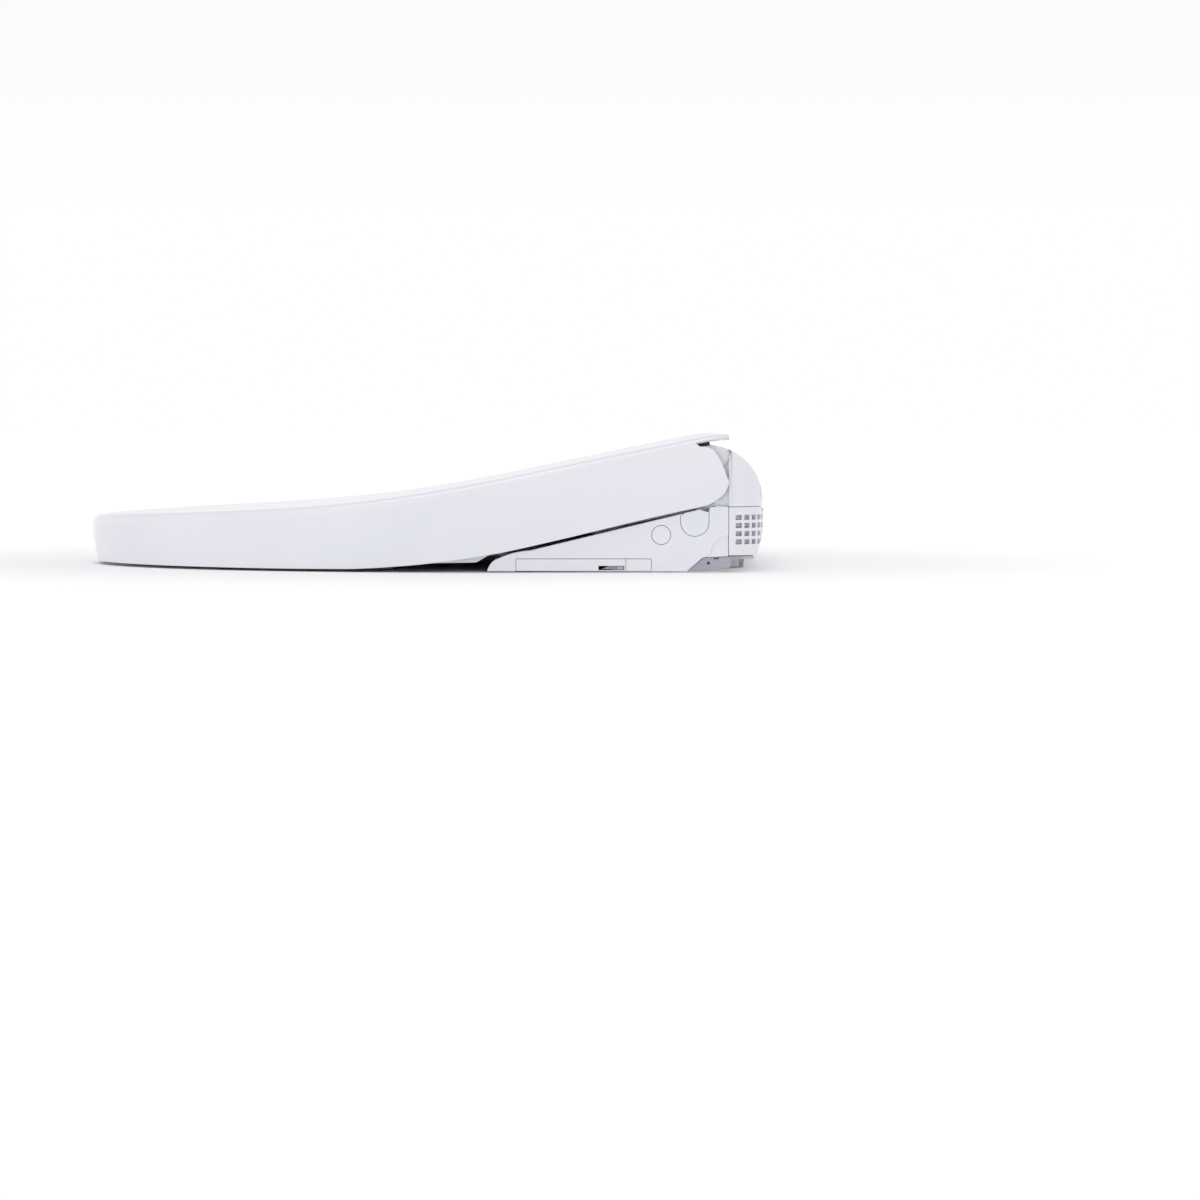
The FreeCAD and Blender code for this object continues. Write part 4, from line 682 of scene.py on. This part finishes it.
def makeLidInside(lid, boss, rib):
    bm = bmesh.new()
    place = bm.verts.layers.float_vector.new("place")
    for start in (boss["faceX"] - boss["length"], -boss["faceX"]):
        tube(bm, (start, boss["y"], boss["z"]), boss["radius"], boss["bore"], boss["length"])
    # stiffening rib round the underside, a little in from the wall
    halfWidth, centreY = lidPlan(lid)
    top = smoothLine(lid["top"])
    ring = bmesh.ops.create_circle(bm, segments=rib["points"], radius=1)["verts"]
    for vert in ring:
        vert[place] = vert.co

    def put(vert, inset, depth):
        across, along = vert[place].x, vert[place].y
        x = across * (halfWidth - inset)
        if along < 0:
            y = centreY + along * (lid["noseLength"] - inset)
        else:
            y = centreY + min(1, along * 1.5) * (rib["rearY"] - centreY)
            x = (halfWidth - inset) * max(-1, min(1, across / max(abs(across), abs(along)) * 1.3))
        vert.co = (x, y, top(y) - lid["wall"] + rib["overlap"] - depth)

    near, far = rib["insets"]
    edges = list({e for v in ring for e in v.link_edges})
    first = edges
    for vert in ring:
        put(vert, near, 0)
    for inset, depth in ((near, rib["depth"]), (far, rib["depth"]), (far, 0)):
        geom = bmesh.ops.extrude_edge_only(bm, edges=edges)["geom"]
        edges = [g for g in geom if isinstance(g, bmesh.types.BMEdge) and g.is_boundary]
        for vert in {v for e in edges for v in e.verts}:
            put(vert, inset, depth)
    bmesh.ops.bridge_loops(bm, edges=first + edges)
    bmesh.ops.recalc_face_normals(bm, faces=bm.faces[:])
    roundEdges(bm, rib["edge"], angle=50)
    keepFlats(finishPiece("lid_inside", bm, "lid", "shell_white", []))


makeLid(lidSpec)
makeLidInside(lidSpec, bossSpec, ribSpec)
print("lid made")


# seat

seatSpec = {
    "halfWidth": 186, "noseY": -466, "centreY": -143, "rearY": -84, "cornerRadius": 24,
    "openHalfWidth": 105, "openHalfLength": 128, "openY": -277,
    "points": 160, "wall": 3.0,
    "top": [(-466, 30.0), (-448, 32.0), (-400, 34.0), (-300, 38.0), (-240, 42.4), (-170, 51.0),
            (-104, 62.0), (-84, 66.0)],
    "under": [(-466, 7.0), (-164, 7.0), (-150, 14.2), (-123, 19.0), (-84, 28.2)],
    "reliefHalfWidth": 47, "reliefY": -176, "reliefZ": 40.5,        # room for the nozzle
    "reliefRunY": 8, "reliefRunX": 6, "skinWiden": 2.1, "skinRise": 2.4,
    "wallDepth": 22, "armStart": 4, "armInnerX": 150, "armEdge": 1.2,
    # from the opening outwards
    "section": [("in", 0, 15), ("in", 0.4, 12.4), ("in", 1.6, 10.2), ("in", 3.6, 8.8),
                ("in", 7, 7.6), ("in", 12, 6.4), ("mid", 0.22, 5.2), ("mid", 0.34, 3.6),
                ("mid", 0.46, 2.0), ("mid", 0.57, 0.8), ("mid", 0.68, 0.1), ("mid", 0.78, 0.2),
                ("out", 13, 0.9), ("out", 9, 2.0), ("out", 5.6, 3.8), ("out", 3, 6.2),
                ("out", 1.2, 9.0), ("out", 0.3, 12.0), ("out", 0, 15)],
    "foil": [("mid", 0.24, 9.6), ("mid", 0.37, 8.0), ("mid", 0.5, 6.6), ("mid", 0.66, 5.5),
             ("mid", 0.8, 4.8)],
}


def seatReach(spec, angle):
    # how far the outer edge of the seat is from the middle of its opening, along an angle
    def inside(x, y):
        if y < spec["centreY"]:
            length = spec["centreY"] - spec["noseY"]
            return (x / spec["halfWidth"]) ** 2 + ((y - spec["centreY"]) / length) ** 2 < 1
        corner = spec["cornerRadius"]
        over = (abs(x) - spec["halfWidth"] + corner, y - spec["rearY"] + corner)
        if over[0] > 0 and over[1] > 0:
            return hypot(*over) < corner
        return abs(x) < spec["halfWidth"] and y < spec["rearY"]

    near, far = 60.0, 400.0
    for _ in range(30):
        middle = (near + far) / 2
        if inside(middle * cos(angle), spec["openY"] + middle * sin(angle)):
            near = middle
        else:
            far = middle
    return near


def ringFrom(spec, rows):
    # rows of points round the opening: side, distance in from that side, depth below the top line
    top, under = smoothLine(spec["top"]), smoothLine(spec["under"])
    bm = bmesh.new()
    bmesh.ops.create_circle(bm, segments=spec["points"], radius=1)
    ray = bm.verts.layers.float_vector.new("ray")
    for vert in bm.verts:
        angle = atan2(vert.co.y, vert.co.x)
        hole = 1 / hypot(cos(angle) / spec["openHalfWidth"], sin(angle) / spec["openHalfLength"])
        vert[ray] = (angle, hole, seatReach(spec, angle))

    def bottom(x, y):
        runY, runX = spec["reliefRunY"], spec["reliefRunX"]
        relief = min(1, max(0, (y - spec["reliefY"] + runY) / runY))
        relief *= min(1, max(0, (spec["reliefHalfWidth"] + runX - abs(x)) / runX))
        base = under(y)
        return base + (max(spec["reliefZ"], base) - base) * relief

    def put(vert, side, inset, depth, floor=False):
        angle, hole, edge = vert[ray]
        reach = {"in": hole + inset, "out": edge - inset,
                 "mid": hole + (edge - hole) * inset}[side]
        x, y = reach * cos(angle), spec["openY"] + reach * sin(angle)
        z = bottom(x, y) if floor else top(y) - depth
        vert.co = (x, y, max(z, bottom(x, y)))

    ring = bm.edges[:]
    for vert in bm.verts:
        put(vert, *rows[0])
    for row in rows[1:]:
        made = bmesh.ops.extrude_edge_only(bm, edges=ring)["geom"]
        ring = [g for g in made if isinstance(g, bmesh.types.BMEdge) and g.is_boundary]
        for vert in {v for e in ring for v in e.verts}:
            put(vert, *row)
    return bm


def makeSeat(spec):
    wall, deep = spec["wall"], spec["wallDepth"]
    rows = [("in", 0, 0, True), ("in", 0, deep)] + spec["section"] + [("out", 0, deep)]
    # back along the hollow inside
    rows += [("out", 0, 0, True), ("out", wall, 0, True), ("out", wall, 20), ("mid", 0.8, 4),
             ("mid", 0.5, 6), ("mid", 0.2, 9), ("in", wall, deep), ("in", wall, 0, True)]
    bm = ringFrom(spec, rows)
    bmesh.ops.bridge_loops(bm, edges=[e for e in bm.edges if e.is_boundary])
    bmesh.ops.recalc_face_normals(bm, faces=bm.faces[:])
    arms = copyOfNode("seat_upper")
    cutLine = spec["rearY"] - spec["armStart"]
    bmesh.ops.bisect_plane(arms, geom=arms.verts[:] + arms.edges[:] + arms.faces[:],
                           plane_co=(0, cutLine, 0), plane_no=(0, 1, 0), clear_inner=True)
    loose = [f for f in arms.faces if abs(f.calc_center_median().x) < spec["armInnerX"]]
    bmesh.ops.delete(arms, geom=loose, context="FACES")
    bmesh.ops.holes_fill(arms, edges=[e for e in arms.edges if e.is_boundary])
    roundEdges(arms, spec["armEdge"], segments=3)
    # the skin over the nozzle, inside the hollow of the rear bar
    skin = copyOfNode("seat_upper", leave=lambda face: True)
    reach = spec["reliefHalfWidth"] + spec["skinWiden"]
    trims = [((0, 0, spec["reliefZ"] + spec["skinRise"]), (0, 0, 1)), ((reach, 0, 0), (1, 0, 0)),
             ((-reach, 0, 0), (-1, 0, 0)), ((0, spec["reliefY"], 0), (0, -1, 0))]
    for place, normal in trims:
        bmesh.ops.bisect_plane(skin, geom=skin.verts[:] + skin.edges[:] + skin.faces[:],
                               plane_co=place, plane_no=normal, clear_outer=True)
    for extra in (arms, skin):
        extraMesh = bpy.data.meshes.new("extra")
        extra.to_mesh(extraMesh)
        extra.free()
        bm.from_mesh(extraMesh)
        bpy.data.meshes.remove(extraMesh)
    keepFlats(finishPiece("seat_ring", bm, "seat", "seat_white", ["seat_upper"]))


def makeFoil(spec):
    # heating foil held just under the inside of the seat's top
    bm = ringFrom(spec, spec["foil"])
    bmesh.ops.recalc_face_normals(bm, faces=bm.faces[:])
    if sum(face.normal.z for face in bm.faces) < 0:
        bmesh.ops.reverse_faces(bm, faces=bm.faces[:])
    piece = finishPiece("seat_foil", bm, "seat", "foil", ["seat_heater"])
    thick = piece.modifiers.new("foil", "SOLIDIFY")
    thick.thickness = 0.3 * mm
    thick.offset = -1


makeSeat(seatSpec)
makeFoil(seatSpec)
print("seat made")


# floor, light and camera

floorSpec = {"size": 30, "drop": 0.0004, "glowCentre": (0, 0.85, 0), "glowScale": (5.2, 4.0, 1),
             "glowFrom": 0.9, "glowTo": 2.6, "glow": 1.05}


def makeFloor(spec):
    bm = bmesh.new()
    bmesh.ops.create_grid(bm, x_segments=1, y_segments=1, size=spec["size"])
    bmesh.ops.translate(bm, vec=(0, 0, -spec["drop"]), verts=bm.verts[:])
    mesh = bpy.data.meshes.new("floor")
    bm.to_mesh(mesh)
    bm.free()
    floor = bpy.data.objects.new("floor", mesh)
    scene.collection.objects.link(floor)
    material, tree, shader, place = startMaterial("paleFloor")
    tree.links.new(mixColours(tree, noise(tree, place, 300, 2), "#fdfdfe", "#fafafc"),
                   shader.inputs["Base Color"])
    shader.inputs["Roughness"].default_value = 0.7
    # beyond the object's own footprint the sweep is lit until it has no edge
    centred = addNode(tree, "ShaderNodeMapping", {
        "Vector": place, "Location": spec["glowCentre"], "Scale": spec["glowScale"],
    }).outputs["Vector"]
    reach = addNode(tree, "ShaderNodeVectorMath", {0: centred},
                    operation="LENGTH").outputs["Value"]
    white = addNode(tree, "ShaderNodeEmission", {"Strength": spec["glow"]})
    share = spread(tree, reach, 0, 1, spec["glowFrom"], spec["glowTo"])
    blend = addNode(tree, "ShaderNodeMixShader", {"Fac": share})
    tree.links.new(shader.outputs["BSDF"], blend.inputs[1])
    tree.links.new(white.outputs["Emission"], blend.inputs[2])
    tree.links.new(blend.outputs["Shader"], tree.nodes["Material Output"].inputs["Surface"])
    mesh.materials.append(material)


def areaLight(name, place, aim, size, power):
    light = bpy.data.lights.new(name, "AREA")
    light.shape = "RECTANGLE"
    light.size, light.size_y = size
    light.energy = power
    lamp = bpy.data.objects.new(name, light)
    scene.collection.objects.link(lamp)
    lamp.location = place
    lamp.rotation_euler = (Vector(aim) - Vector(place)).to_track_quat("-Z", "Y").to_euler()


makeFloor(floorSpec)
middle = (cadBounds[0] + cadBounds[1]) / 2
lightSpec = {   # place in metres, size in metres, power in watts
    "overhead": ((0.5, middle.y - 0.3, 2.0), (1.5, 1.1), 9),
    "cameraSide": ((2.2, -1.4, 0.9), (0.9, 0.9), 2.5),
    "rearSide": ((-1.7, 1.7, 1.2), (0.9, 1.2), 6),
}
for name, (place, size, power) in lightSpec.items():
    areaLight(name, place, middle, size, power)


def makeWorld():
    # a white room: bright at eye level, quieter overhead, so that gloss has something to show
    world = bpy.data.worlds.new("studio")
    scene.world = world
    world.use_nodes = True
    tree = world.node_tree
    direction = addNode(tree, "ShaderNodeTexCoord").outputs["Generated"]
    height = addNode(tree, "ShaderNodeSeparateXYZ", {"Vector": direction}).outputs["Z"]
    strength = spread(tree, height, 1.02, 0.62, 0.06, 0.7)
    background = tree.nodes["Background"]
    tree.links.new(strength, background.inputs["Strength"])
    background.inputs["Color"].default_value = toLinear("#fdfdff")


makeWorld()

cameraSpec = {"place": (2.7, -0.0715, 0.111), "pitch": 3.0, "lens": 102.15}
camera = bpy.data.objects.new("camera", bpy.data.cameras.new("camera"))
scene.collection.objects.link(camera)
camera.location = cameraSpec["place"]
camera.rotation_euler = (radians(90 - cameraSpec["pitch"]), 0, radians(90))
camera.data.lens = cameraSpec["lens"]
camera.data.sensor_width = 36
camera.data.clip_end = 100
scene.camera = camera
scene.view_settings.view_transform = "Standard"
print("stage and camera set")
